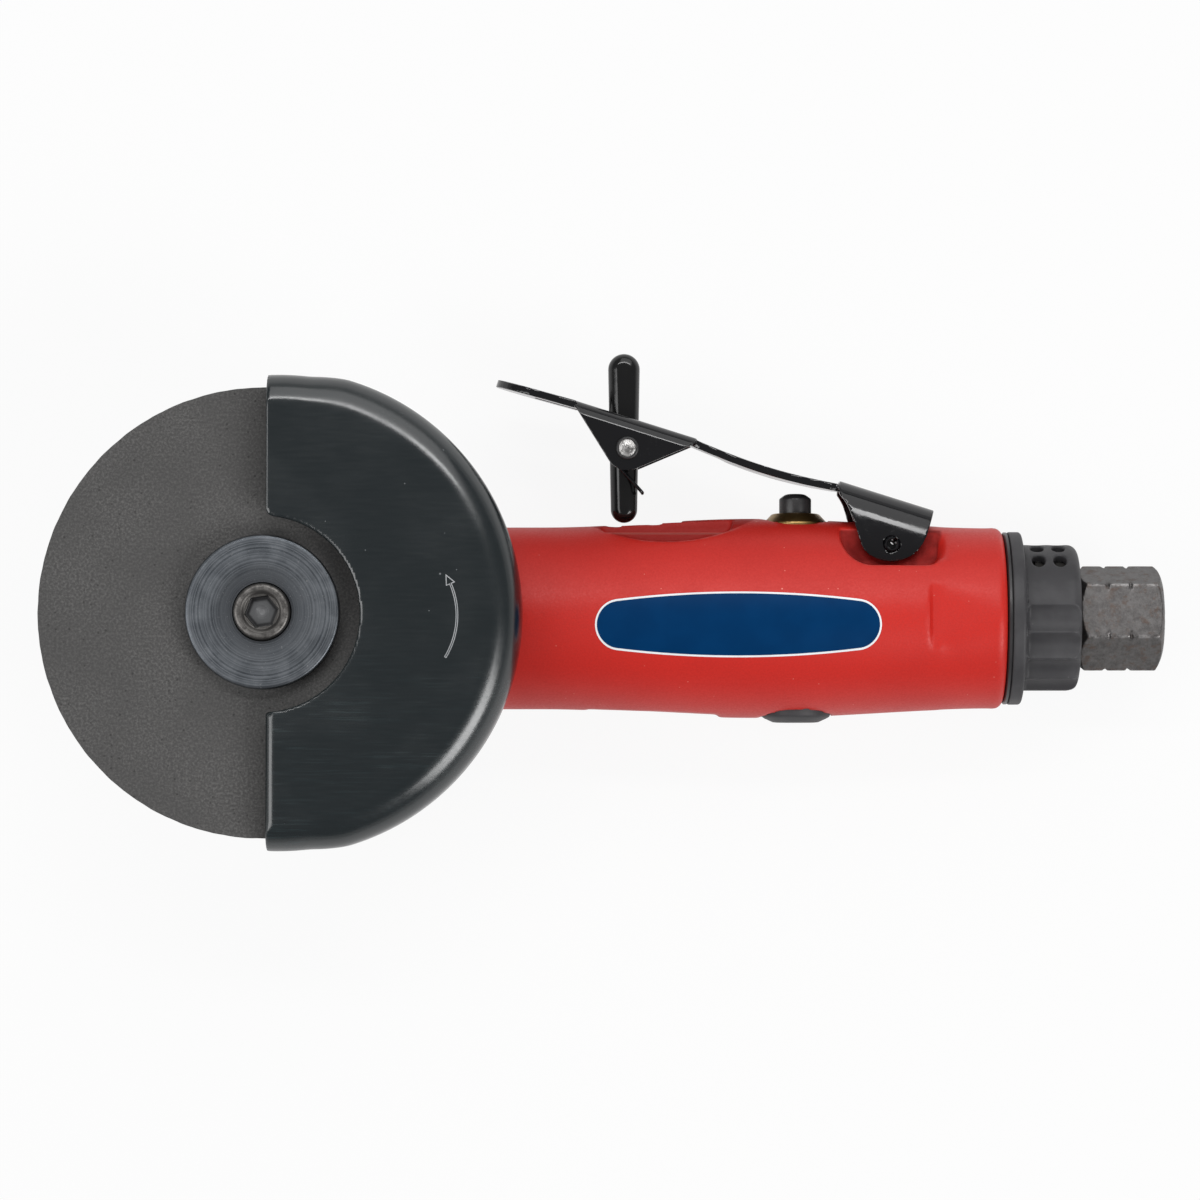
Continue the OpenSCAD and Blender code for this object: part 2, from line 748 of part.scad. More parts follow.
// Angle head
module angle_head() {
    color(alloy) lifted() difference() {
        union() {
            rotate_extrude() polygon(concat(
                [[0, -axis_h]],
                arc([head_r - head_edge_r, -axis_h + head_edge_r], head_edge_r, -90, 0, 6),
                [[head_r, head_face_z - edge_c], [head_r - edge_c, head_face_z], [0, head_face_z]]
            ));
            bar_x(neck_r, 0, nose_x);
            bar_x(head_flange_r, nose_x - head_flange_t, nose_x);
            bar_x(spigot_r, nose_x, spigot_end);
        }
        bar_z(cavity_r, rear_brg_end, gear_back_z);
        bar_z(front_brg_od / 2 + fit_gap, front_brg_z, head_face_z + over);
        bar_z(rear_brg_od / 2 + fit_gap, rear_brg_z, rear_brg_end + over);
        bar_x(pinion_tip_r + fit_gap + run_gap, 0, pinion_brg_x + over);
        bar_x(neck_bore_r, pinion_brg_x, spigot_end + over);
        bar_x(neck_bore_r + clip_bite, pinion_brg_end, pinion_brg_end + clip_t);
        translate([spigot_end - spigot_l / 2, 0, 0]) along_x() donut(spigot_r, seal_d / 2);
    }
}

module head_o_ring() {
    color(rubber) lifted()
        translate([spigot_end - spigot_l / 2, 0, 0]) along_x() seal_ring(spigot_r);
}

module pinion_clip() {
    color(steel) lifted() translate([pinion_brg_end, 0, 0]) along_x() difference() {
        ring_z(neck_bore_r - clip_w, neck_bore_r + clip_bite - fit_gap, 0, clip_t);
        translate([0, -clip_w, -over]) cube([neck_bore_r + clip_w, 2 * clip_w, clip_t + 2 * over]);
    }
}

module bearing_retainer() {
    color(steel) lifted() difference() {
        union() {
            bar_z(front_brg_od / 2 - fit_gap, front_brg_end, head_face_z);
            bar_z(collar_r, head_face_z, lock_ring_end);
        }
        bar_z(flange_hub_r + side_gap, front_brg_end - over, lock_ring_end + over);
        bar_z(
            pitch_r(front_brg_bore, front_brg_od) + ball_r(front_brg_bore, front_brg_od) * land_share,
            front_brg_end - over, front_brg_end + head_chamfer
        );
    }
}

// Guard: a pressed cup over half the disc, turning on the retainer's collar
guard_r = disc_d / 2 + guard_rim_gap + guard_t;
guard_ring_r = collar_r + lock_ring_w;

module guard_cup() {
    inner_r = guard_r - guard_t;
    inner_edge_r = guard_edge_r - guard_t;
    rotate_extrude() polygon(concat(
        [[0, guard_front_z]],
        arc([inner_r - inner_edge_r, guard_front_z - inner_edge_r], inner_edge_r, 90, 0, 6),
        [[inner_r, lock_ring_z], [0, lock_ring_z], [0, guard_back_z]],
        [[guard_r - edge_c, guard_back_z], [guard_r, guard_back_z + edge_c]],
        arc([guard_r - guard_edge_r, guard_face_z - guard_edge_r], guard_edge_r, 0, 90, 8),
        [[0, guard_face_z]]
    ));
}

module guard() {
    color(gunmetal) lifted() difference() {
        union() {
            intersection() {
                translate([guard_shift, 0, 0]) guard_cup();
                translate([guard_cut_x, -disc_d, 0]) cube([disc_d, 2 * disc_d, guard_face_z + over]);
            }
            bar_z(guard_ring_r, guard_back_z, lock_ring_z);
        }
        bar_z(collar_r + run_gap, guard_back_z - over, lock_ring_z + over);
        bar_z(guard_window_r, disc_z, guard_face_z + over);
    }
}

module guard_lock_ring() {
    slot_count = 4;
    slot_w = 3;
    slot_d = 1;
    color(steel) lifted() difference() {
        ring_z(collar_r + fit_gap, guard_ring_r, lock_ring_z, lock_ring_end);
        for (i = [0 : slot_count - 1])
            rotate(i * 360 / slot_count)
                translate([guard_ring_r - slot_d, -slot_w / 2, lock_ring_z - over])
                    cube([slot_d + over, slot_w, lock_ring_t + 2 * over]);
    }
}

// Disc and what clamps it
module cutting_disc() {
    color([0.29, 0.285, 0.28]) lifted() ring_z(disc_bore_d / 2, disc_d / 2, disc_z, disc_face_z);
}

module inner_flange() {
    color(steel) lifted() difference() {
        union() {
            bar_z(flange_hub_r, front_brg_end, disc_z);
            bar_z(flange_d / 2, inner_flange_z, disc_z);
        }
        bar_z(arbor_r + fit_gap, front_brg_end - over, disc_z + over);
        ring_z(flange_hub_r, flange_d / 2 * flange_pad_share, disc_z - flange_relief, disc_z + over);
    }
}

module outer_flange() {
    color(gunmetal) lifted() difference() {
        rotate_extrude() polygon([
            [screw_d / 2 + side_gap, disc_face_z],
            [flange_d / 2, disc_face_z],
            [flange_d / 2, outer_flange_end - edge_c],
            [flange_d / 2 - edge_c, outer_flange_end],
            [flange_d / 2 * washer_dish_share, outer_flange_end],
            [screw_head_d / 2 + side_gap, outer_flange_end - washer_dish],
            [screw_head_d / 2 + side_gap, screw_seat_z],
            [screw_d / 2 + side_gap, screw_seat_z]
        ]);
        ring_z(
            flange_hub_r, flange_d / 2 * flange_pad_share,
            disc_face_z - over, disc_face_z + flange_relief
        );
    }
}

module disc_screw() {
    head_end = screw_seat_z + screw_head_h;
    socket_d = screw_head_h * socket_depth_share;
    dimple_r = screw_hex * dimple_share;
    color(gunmetal) lifted() difference() {
        union() {
            bar_z(screw_d / 2, screw_end_z, screw_seat_z);
            rotate_extrude() polygon([
                [0, screw_seat_z],
                [screw_head_d / 2, screw_seat_z],
                [screw_head_d / 2, head_end - head_chamfer],
                [screw_head_d / 2 - head_chamfer, head_end],
                [0, head_end]
            ]);
        }
        translate([0, 0, head_end - socket_d])
            cylinder(r = screw_hex / sqrt(3), h = socket_d + over, $fn = 6);
        translate([0, 0, head_end - socket_d - dimple_r])
            cylinder(r1 = 0, r2 = dimple_r, h = dimple_r + edge_c);
    }
}

module spindle() {
    arbor_end = disc_face_z - arbor_short;
    color(steel) lifted() difference() {
        union() {
            bar_z(spindle_r, rear_brg_z, gear_back_z);
            bar_z(spindle_seat_r, gear_back_z, front_brg_end);
            bar_z(arbor_r, front_brg_end, arbor_end);
        }
        bar_z(screw_d / 2 + fit_gap, screw_end_z - screw_hole_spare, arbor_end + over);
        translate([spindle_r - key_h / 2, -key_w / 2, gear_back_z - key_l])
            cube([key_h, key_w, key_l]);
    }
}

module gear_key() {
    color(steel) lifted()
        translate([spindle_r - key_h / 2 + fit_gap, -key_w / 2 + fit_gap, gear_back_z - key_l + fit_gap])
            cube([key_h - 2 * fit_gap, key_w - 2 * fit_gap, key_l - 2 * fit_gap]);
}

module bevel_gear() {
    boss_r = pitch_r(front_brg_bore, front_brg_od) - ball_r(front_brg_bore, front_brg_od) * land_share;
    color(steel) lifted() difference() {
        union() {
            bevel_teeth(gear_teeth, gear_cone, 180 / gear_teeth);
            bar_z(gear_root_r, pinion_pitch_r, gear_back_z - gear_boss_h);
            bar_z(boss_r, pinion_pitch_r + gear_web / 2, gear_back_z);
        }
        bar_z(spindle_r + fit_gap, 0, gear_back_z + over);
        translate([0, -key_w / 2, gear_back_z - key_l])
            cube([spindle_r + key_h / 2, key_w, key_l + over]);
    }
}

module spindle_front_outer_race() {
    color(steel) lifted()
        translate([0, 0, front_brg_z]) outer_race(front_brg_bore, front_brg_od, front_brg_w);
}

module spindle_front_inner_race() {
    color(steel) lifted()
        translate([0, 0, front_brg_z]) inner_race(front_brg_bore, front_brg_od, front_brg_w);
}

module spindle_front_balls() {
    color(steel) lifted() translate([0, 0, front_brg_z]) balls(front_brg_bore, front_brg_od, front_brg_w);
}

module spindle_rear_outer_race() {
    color(steel) lifted() translate([0, 0, rear_brg_z]) outer_race(rear_brg_bore, rear_brg_od, rear_brg_w);
}

module spindle_rear_inner_race() {
    color(steel) lifted() translate([0, 0, rear_brg_z]) inner_race(rear_brg_bore, rear_brg_od, rear_brg_w);
}

module spindle_rear_balls() {
    color(steel) lifted() translate([0, 0, rear_brg_z]) balls(rear_brg_bore, rear_brg_od, rear_brg_w);
}

// Rotor line: pinion, vane rotor and their bearings
module bevel_pinion() {
    gear_rise = gear_tip_r / pinion_pitch_r;
    hub_r = pinion_shank_r + pinion_hub_wall;
    color(steel) lifted() difference() {
        union() {
            along_x() bevel_teeth(pinion_teeth, pinion_cone, 180);
            turn_x([
                [0, gear_pitch_r],
                [gear_pitch_r / gear_rise - mesh_gap, gear_pitch_r],
                [hub_r, (hub_r + mesh_gap) * gear_rise],
                [hub_r, pinion_brg_x],
                [0, pinion_brg_x]
            ]);
            bar_x(pinion_shank_r, pinion_brg_x, pinion_end);
        }
        bar_x(coupling_r + fit_gap, pinion_end - pinion_socket_l, pinion_end + over);
    }
}

module pinion_outer_race() {
    color(steel) lifted()
        translate([pinion_brg_x, 0, 0]) along_x() outer_race(pinion_brg_bore, pinion_brg_od, pinion_brg_w);
}

module pinion_inner_race() {
    color(steel) lifted()
        translate([pinion_brg_x, 0, 0]) along_x() inner_race(pinion_brg_bore, pinion_brg_od, pinion_brg_w);
}

module pinion_balls() {
    color(steel) lifted()
        translate([pinion_brg_x, 0, 0]) along_x() balls(pinion_brg_bore, pinion_brg_od, pinion_brg_w);
}

module each_vane() {
    for (i = [0 : vane_count - 1]) rotate([i * 360 / vane_count, 0, 0]) children();
}

module rotor() {
    slot_t = vane_t + 2 * run_gap;
    from = liner_x + rotor_end_gap;
    to = liner_end - rotor_end_gap;
    color(steel) lifted() difference() {
        union() {
            bar_x(rotor_r, from, to);
            bar_x(rotor_front_bore / 2, spigot_end, liner_x + over);
            bar_x(coupling_r, pinion_end - pinion_socket_l, spigot_end);
            bar_x(rotor_rear_bore / 2, liner_end - over, motor_end);
        }
        each_vane()
            translate([from - over, rotor_r - vane_h - run_gap, -slot_t / 2])
                cube([to - from + 2 * over, vane_h + rotor_r, slot_t]);
    }
}

module rotor_vanes() {
    from = liner_x + rotor_end_gap;
    color([0.45, 0.27, 0.14]) lifted() each_vane()
        translate([from, rotor_r - vane_h, -vane_t / 2])
            cube([liner_l - 2 * rotor_end_gap, vane_h, vane_t]);
}

module cylinder_liner() {
    port_step = liner_l / (port_count + 1);
    color(steel) lifted() difference() {
        bar_x(liner_r, liner_x, liner_end);
        translate([0, -eccentricity, 0]) bar_x(liner_bore_r, liner_x - over, liner_end + over);
        translate([0, liner_r, 0]) bar_x(dowel_d / 2 + fit_gap, liner_x - over, liner_x + dowel_l);
        for (side = [0, 1], i = [1 : port_count])
            mirror([0, 0, side])
                rotate([exhaust_angle, 0, 0])
                    translate([liner_x + port_step * i, 0, 0])
                        bar_z(port_d / 2, rotor_r / 2, liner_r + over);
    }
}

module end_plate(from, brg_bore, brg_od, brg_from, brg_to) {
    difference() {
        bar_x(liner_r, from, from + end_plate_t);
        bar_x(brg_bore / 2 + side_gap, from - over, from + end_plate_t + over);
        bar_x(brg_od / 2 + fit_gap, brg_from, brg_to);
    }
}

module front_end_plate() {
    color(alloy) lifted() difference() {
        end_plate(
            spigot_end, rotor_front_bore, rotor_front_od,
            spigot_end - over, spigot_end + rotor_front_w
        );
        translate([0, liner_r, 0]) bar_x(dowel_d / 2 + fit_gap, liner_x - dowel_in, liner_x + over);
    }
}

module rear_end_plate() {
    color(alloy) lifted() difference() {
        end_plate(liner_end, rotor_rear_bore, rotor_rear_od, motor_end - rotor_rear_w, motor_end + over);
        translate([0, feed_y, 0]) bar_x(feed_d / 2, liner_end - over, motor_end + over);
    }
}

module rotor_front_outer_race() {
    color(steel) lifted()
        translate([spigot_end, 0, 0]) along_x() outer_race(rotor_front_bore, rotor_front_od, rotor_front_w);
}

module rotor_front_inner_race() {
    color(steel) lifted()
        translate([spigot_end, 0, 0]) along_x() inner_race(rotor_front_bore, rotor_front_od, rotor_front_w);
}

module rotor_front_balls() {
    color(steel) lifted()
        translate([spigot_end, 0, 0]) along_x() balls(rotor_front_bore, rotor_front_od, rotor_front_w);
}

module rotor_rear_outer_race() {
    color(steel) lifted()
        translate([motor_end - rotor_rear_w, 0, 0])
            along_x() outer_race(rotor_rear_bore, rotor_rear_od, rotor_rear_w);
}

module rotor_rear_inner_race() {
    color(steel) lifted()
        translate([motor_end - rotor_rear_w, 0, 0])
            along_x() inner_race(rotor_rear_bore, rotor_rear_od, rotor_rear_w);
}

module rotor_rear_balls() {
    color(steel) lifted()
        translate([motor_end - rotor_rear_w, 0, 0])
            along_x() balls(rotor_rear_bore, rotor_rear_od, rotor_rear_w);
}

module motor_dowel() {
    color(steel) lifted()
        translate([0, liner_r, 0]) bar_x(dowel_d / 2, liner_x - dowel_in, liner_x + dowel_l);
}

module motor_gasket() {
    color(rubber) lifted() difference() {
        bar_x(liner_r, motor_end, motor_bore_end);
        bar_x(rotor_rear_od / 2, motor_end - over, motor_bore_end + over);
        translate([0, feed_y, 0]) bar_x(feed_d / 2, motor_end - over, motor_bore_end + over);
        exhaust_passages();
    }
}

// Throttle valve, worked by the lever, and the regulator opposite
stem_r = stem_d / 2;
stem_waist_r = stem_r * stem_waist_share;
chamber_y = seat_y + seat_t;
chamber_top = chamber_y + chamber_h;
valve_head_top = seat_y - valve_head_gap;
valve_head_low = valve_head_top - valve_head_t;
bush_edge_y = girth(valve_x) - bush_edge_sink;

module at_valve() {
    lifted() translate([valve_x, 0, 0]) children();
}

module valve_bush() {
    color(brass) at_valve() difference() {
        turn_y([
            [0, seat_y],
            [bush_d / 2, seat_y],
            [bush_d / 2, bush_edge_y],
            [bush_d / 2 * bush_top_share, girth(valve_x) + bush_cone_h],
            [0, girth(valve_x) + bush_cone_h]
        ]);
        bar_y(stem_r + run_gap, chamber_top - over, belly_r + stem_top_y);
        bar_y(stem_r + chamber_side, chamber_y, chamber_top);
        bar_y(stem_waist_r + chamber_side, seat_y - over, chamber_y + over);
        translate([0, feed_y, 0]) bar_x(feed_d / 2, -bush_d, 0);
    }
}

module valve_stem() {
    color(black) at_valve() turn_y([
        [0, valve_head_low],
        [stem_waist_r, valve_head_low],
        [stem_waist_r, chamber_top - edge_c],
        [stem_r, chamber_top],
        [stem_r, stem_top_y - stem_dome_h],
        [stem_r * (1 + stem_top_share) / 2, stem_top_y - stem_dome_h / 4],
        [stem_r * stem_top_share, stem_top_y],
        [0, stem_top_y]
    ]);
}

module valve_head() {
    color(rubber) at_valve() difference() {
        bar_y(valve_bore_d / 2 - valve_head_side, valve_head_low, valve_head_top);
        bar_y(stem_waist_r + fit_gap, valve_head_low - over, valve_head_top + over);
    }
}

valve_spring_from = dial_top_y + valve_wire_d / 2 + fit_gap;
valve_spring_to = valve_head_low - valve_wire_d / 2 - fit_gap;
valve_spring_path = [
    for (i = [0 : valve_spring_turns * curl_rings])
        let (a = i * 360 / curl_rings, s = i / (valve_spring_turns * curl_rings))
        [
            valve_spring_r * cos(a),
            valve_spring_from + (valve_spring_to - valve_spring_from) * s,
            valve_spring_r * sin(a)
        ]
];
echo(valve_spring_least_gap = wire_gap(valve_spring_path, curl_rings / 2, valve_wire_d));

module valve_spring() {
    color(steel) at_valve() rotate([-90, 0, 0])
        wire([for (p = valve_spring_path) [p.x, -p.z, p.y]], valve_wire_d / 2);
}

dial_low_y = -girth(valve_x) - dial_proud;

module regulator_dial() {
    color(plastic) at_valve() difference() {
        turn_y([
            [0, dial_low_y],
            [dial_d / 2 - head_chamfer, dial_low_y],
            [dial_d / 2, dial_low_y + head_chamfer],
            [dial_d / 2, dial_waist_y],
            [dial_d / 2 * dial_waist_share, dial_waist_y],
            [dial_d / 2 * dial_waist_share, dial_waist_y + dial_waist_h],
            [dial_d / 2, dial_waist_y + dial_waist_h],
            [dial_d / 2, dial_top_y],
            [0, dial_top_y]
        ]);
        translate([0, dial_seal_y + seal_d / 2, 0])
            rotate([90, 0, 0]) donut(dial_d / 2, seal_d / 2);
        translate([-dial_d, dial_low_y - over, -dial_slot_w / 2])
            cube([2 * dial_d, dial_slot_d + over, dial_slot_w]);
    }
}

module regulator_o_ring() {
    color(rubber) at_valve()
        translate([0, dial_seal_y + seal_d / 2, 0])
            rotate([90, 0, 0]) seal_ring(dial_d / 2);
}

module regulator_clip() {
    color(steel) at_valve() translate([0, dial_waist_y + fit_gap, 0]) rotate([-90, 0, 0])
        ring_z(
            dial_d / 2 * dial_waist_share + run_gap, dial_d / 2 + clip_bite - fit_gap,
            0, dial_waist_h - 2 * fit_gap
        );
}

// Throttle lever, drawn along its own line with the pivot at the origin
module at_pivot() {
    lifted() translate([pivot_x, pivot_y, 0]) children();
}

module on_slope() {
    at_pivot() rotate(-lever_slope) children();
}

function neck_v(s) = front_v + (rear_v - front_v) * s - neck_dip * sin(180 * s);
lever_top = concat(
    [[-lever_reach, front_v - tip_drop], [ear_front_u, front_v]],
    [
        for (i = [0 : neck_steps])
            [neck_start_u + (neck_end_u - neck_start_u) * i / neck_steps, neck_v(i / neck_steps)]
    ],
    [[lever_end_u, rear_v]]
);
lever_low = [for (i = [len(lever_top) - 1 : -1 : 0]) lever_top[i] - [0, lever_t]];

module lever_plan() {
    tip_r = lever_w * tip_r_share;
    half = lever_w / 2;
    tip_u = -lever_reach + tip_r;
    translate([tip_u, -half]) square([ear_front_u - tip_u, lever_w]);
    translate([-lever_reach, -half + tip_r]) square([tip_r, lever_w - 2 * tip_r]);
    for (side = [-1, 1]) translate([tip_u, side * (half - tip_r)]) circle(r = tip_r);
    translate([ear_front_u, -neck_half]) square([lever_end_u - ear_front_u, 2 * neck_half]);
}

tab_slot_half = tab_t / 2 + side_gap;
tab_slot_front = -lock_pin_u - (tab_up - tab_top_r) * sin(lever_slope + tab_swing) - tab_top_r - side_gap;
tab_slot_rear = -lock_pin_u - (front_v - lever_t - lock_pin_v) * tan(lever_slope)
    + tab_top_r / cos(lever_slope) + side_gap;

module channel(from, to, top, depth) {
    half = lever_w / 2;
    translate([from, 0, 0]) rotate([0, 90, 0]) linear_extrude(height = to - from) {
        translate([-neck_half, top - lever_t]) square([2 * neck_half, lever_t]);
        for (side = [0, 1]) mirror([side, 0]) {
            translate([half - lever_t, top - depth]) square([lever_t, depth - bend_r]);
            translate([neck_half, top - bend_r]) intersection() {
                difference() {
                    circle(r = bend_r);
                    circle(r = bend_r - lever_t);
                }
                square([bend_r, bend_r]);
            }
        }
    }
}

module front_ear() {
    center = [-lock_pin_u, lock_pin_v];
    front_low = [ear_front_u, front_v - bend_r];
    rear_low = [ear_rear_u, front_v - bend_r];
    polygon([
        [ear_front_u, front_v + over],
        [ear_rear_u, front_v + over],
        rear_low,
        tangent(center, ear_r, rear_low, -1),
        center,
        tangent(center, ear_r, front_low, 1),
        front_low
    ]);
    translate(center) circle(r = ear_r);
}

module rear_ear() {
    polygon([
        [rear_top_u, rear_v + over],
        [lever_end_u, rear_v + over],
        [lever_end_u, rear_round_v],
        [rear_round_u, rear_round_v - rear_round_r],
        [rear_low_u, rear_low_v - rear_low_c],
        [rear_low_u - rear_low_c, rear_low_v]
    ]);
    translate([rear_round_u, rear_round_v]) circle(r = rear_round_r);
}

module throttle_lever() {
    depth = front_v + rear_v;
    color(black) on_slope() difference() {
        union() {
            intersection() {
                translate([0, 0, -lever_w]) linear_extrude(height = 2 * lever_w)
                    polygon(concat(lever_top, lever_low));
                translate([0, lever_reach, 0]) rotate([90, 0, 0])
                    linear_extrude(height = 2 * lever_reach) lever_plan();
            }
            intersection() {
                channel(ear_front_u, ear_rear_u, front_v, depth);
                translate([0, 0, -lever_w]) linear_extrude(height = 2 * lever_w) front_ear();
            }
            intersection() {
                channel(rear_top_u, lever_end_u, rear_v, depth);
                translate([0, 0, -lever_w]) linear_extrude(height = 2 * lever_w) rear_ear();
            }
        }
        bar_z(pivot_d / 2 + run_gap, -lever_w, lever_w);
        translate([-lock_pin_u, lock_pin_v, 0]) bar_z(lock_pin_d / 2 + fit_gap, -lever_w, lever_w);
        translate([tab_slot_front, lock_pin_v + lock_pin_d, -tab_slot_half])
            cube([tab_slot_rear - tab_slot_front, front_v, 2 * tab_slot_half]);
    }
}

module lever_pin() {
    half = lever_w / 2 + pin_head_h;
    color(steel) at_pivot() ring_z(pivot_d / 2 * pin_bore_share, pivot_d / 2, -half, half);
}

// Lock-off: a tab on a pin in the lever's front ears, held down by a coiled spring
module at_lock_pin() {
    lifted() translate([lock_pin_at.x, lock_pin_at.y, 0]) children();
}

module tab_outline() {
    top_y = tab_up - tab_top_r;
    low_y = -tab_low + tab_low_r;
    translate([0, top_y]) circle(r = tab_top_r);
    translate([0, low_y]) circle(r = tab_low_r);
    polygon([[-tab_top_r, top_y], [-tab_low_r, low_y], [tab_low_r, low_y], [tab_top_r, top_y]]);
}

module lock_tab() {
    boss_half = lever_w / 2 - lever_t - side_gap;
    color(black) at_lock_pin() difference() {
        union() {
            translate([0, 0, -tab_t / 2]) linear_extrude(height = tab_t) tab_outline();
            bar_z(lock_pin_d / 2 + tab_boss_wall, -boss_half, boss_half);
        }
        bar_z(lock_pin_d / 2 + run_gap, -lever_w, lever_w);
    }
}

module lock_pin() {
    half = lever_w / 2 + fit_gap;
    color(steel) at_lock_pin() {
        bar_z(lock_pin_d / 2, -half - pin_head_h, half + pin_head_h);
        for (side = [0, 1]) mirror([0, 0, side]) bar_z(lock_rivet_r, half, half + pin_head_h);
    }
}

lock_wire_z = tab_t / 2 + side_gap + lock_wire_d / 2;
lock_leg_dir = [cos(lock_leg_angle), sin(lock_leg_angle), 0];
lock_coil_end = lock_leg_angle - 90;
lock_anchor_dir = [sin(lever_slope), cos(lever_slope), 0];
lock_turns = lock_full_turns + (lock_coil_end + lever_slope - 180 + 360) / 360;
lock_coil_steps = round(lock_turns * curl_rings);
lock_coil = [
    for (i = [0 : lock_coil_steps])
        let (s = i / lock_coil_steps, a = lock_coil_end - 360 * lock_turns * (1 - s))
        [
            lock_coil_r * cos(a),
            lock_coil_r * sin(a),
            lock_wire_z + lock_coil_pitch * lock_turns * (1 - s)
        ]
];
lock_anchor_l = front_v - lever_t - lock_pin_v - tab_rest_gap;
lock_flank_x = (tab_top_w + tab_low_w) / 4 + side_gap + lock_wire_d / 2;
lock_leg_l = (lock_flank_x - lock_coil[lock_coil_steps].x) / lock_leg_dir.x;
lock_hook = lock_coil[lock_coil_steps] + lock_leg_l * lock_leg_dir;
lock_path = concat(
    [lock_coil[0] + lock_anchor_l * lock_anchor_dir],
    lock_coil,
    [lock_hook - lock_wire_d * lock_leg_dir, lock_hook - [0, 0, lock_wire_d], lock_hook - [0, 0, lock_hook_l]]
);
echo(lock_spring_least_gap = wire_gap(lock_coil, curl_rings / 2, lock_wire_d));

module lock_spring() {
    color(steel) at_lock_pin() wire(lock_path, lock_wire_d / 2);
}

// Rear end: exhaust deflector, air inlet and what seals them
module exhaust_deflector() {
    inner_r = deflector_r - deflector_wall;
    bore_r = inlet_shank_d / 2 + run_gap;
    edge_x = deflector_end - deflector_edge_r;
    back_x = deflector_end - deflector_back_wall;
    color(plastic) lifted() difference() {
        turn_x(concat(
            [[deflector_mouth_r, deflector_x], [deflector_flange_r - edge_c, deflector_x]],
            [[deflector_flange_r, deflector_x + edge_c]],
            [[deflector_flange_r, deflector_barrel_x - deflector_flange_c]],
            [[deflector_flange_r - deflector_flange_c, deflector_barrel_x]],
            [[deflector_r, deflector_barrel_x]],
            arc([deflector_r - deflector_edge_r, edge_x], deflector_edge_r, 0, 90, 6),
            [[bore_r, deflector_end], [bore_r, back_x], [inner_r, back_x]],
            [[inner_r, deflector_x + deflector_mouth_l], [deflector_mouth_r, deflector_x + deflector_mouth_l]]
        ));
        for (column = [0 : vent_columns - 1], row = [0 : vent_rows - 1])
            rotate([vent_step * (row - (vent_rows - 1) / 2), 0, 0])
                translate([deflector_barrel_x + vent_first + vent_pitch * column, 0, 0])
                    bar_y(vent_d / 2, inner_r - over, deflector_r + over);
        for (i = [0 : flute_count - 1])
            rotate([180 + flute_step * (i - (flute_count - 1) / 2), 0, 0])
                translate([0, deflector_r - flute_depth + flute_r, 0])
                    bar_x(flute_r, deflector_barrel_x + flute_start_gap, deflector_end + over);
    }
}

module exhaust_felt() {
    outer_r = deflector_r - deflector_wall - felt_gap;
    from = deflector_end - deflector_back_wall - felt_l;
    color([0.55, 0.53, 0.48]) lifted() difference() {
        bar_x(outer_r, from, from + felt_l);
        bar_x(outer_r - felt_wall, from - over, from + felt_l + over);
    }
}

module inlet_bushing() {
    corner_r = inlet_hex / sqrt(3);
    low_r = inlet_hex / 2 + inlet_groove_lift;
    grooves = [
        for (share = inlet_groove_shares)
            let (x = inlet_hex_x + inlet_hex_l * share)
            each [[corner_r, x - inlet_groove_w / 2], [low_r, x], [corner_r, x + inlet_groove_w / 2]]
    ];
    color([0.4, 0.39, 0.38]) lifted() difference() {
        union() {
            intersection() {
                translate([inlet_hex_x, 0, 0]) rotate([inlet_turn, 0, 0]) along_x()
                    cylinder(r = corner_r, h = inlet_hex_l, $fn = 6);
                turn_x(concat(
                    [[0, inlet_hex_x], [inlet_hex / 2, inlet_hex_x], [corner_r, inlet_hex_x + inlet_chamfer]],
                    grooves,
                    [[corner_r, inlet_end - inlet_chamfer], [inlet_hex / 2, inlet_end], [0, inlet_end]]
                ));
            }
            bar_x(inlet_shank_d / 2, inlet_shank_x, inlet_hex_x + over);
        }
        bar_x(inlet_bore_d / 2, inlet_end - inlet_bore_l, inlet_end + over);
        bar_x(inlet_neck_d / 2, inlet_shank_x - over, inlet_end);
        translate([tail_x - inlet_seal_in, 0, 0]) along_x() donut(inlet_shank_d / 2, seal_d / 2);
    }
}

module inlet_o_ring() {
    color(rubber) lifted() translate([tail_x - inlet_seal_in, 0, 0])
        along_x() seal_ring(inlet_shank_d / 2);
}

module inlet_screen() {
    color(brass) lifted() translate([inlet_shank_x - screen_t, 0, 0]) along_x() difference() {
        bar_z(inlet_shank_d / 2, 0, screen_t);
        bar_z(screen_hole_d / 2, -over, screen_t + over);
        for (ring = [1 : screen_rings], i = [0 : 6 * ring - 1])
            rotate(i * 60 / ring)
                translate([screen_pitch * ring, 0, 0]) bar_z(screen_hole_d / 2, -over, screen_t + over);
    }
}

motor_housing();
angle_head();
head_o_ring();
pinion_clip();
bearing_retainer();
guard();
guard_lock_ring();
cutting_disc();
inner_flange();
outer_flange();
disc_screw();
spindle();
gear_key();
bevel_gear();
spindle_front_outer_race();
spindle_front_inner_race();
spindle_front_balls();
spindle_rear_outer_race();
spindle_rear_inner_race();
spindle_rear_balls();
bevel_pinion();
pinion_outer_race();
pinion_inner_race();
pinion_balls();
rotor();
rotor_vanes();
cylinder_liner();
front_end_plate();
rear_end_plate();
rotor_front_outer_race();
rotor_front_inner_race();
rotor_front_balls();
rotor_rear_outer_race();
rotor_rear_inner_race();
rotor_rear_balls();
motor_dowel();
motor_gasket();
valve_bush();
valve_stem();
valve_head();
valve_spring();
regulator_dial();
regulator_o_ring();
regulator_clip();
throttle_lever();
lever_pin();
lock_tab();
lock_pin();
lock_spring();
exhaust_deflector();
exhaust_felt();
inlet_bushing();
inlet_o_ring();
inlet_screen();
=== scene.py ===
import bpy
import json
import math
from mathutils import Matrix, Vector


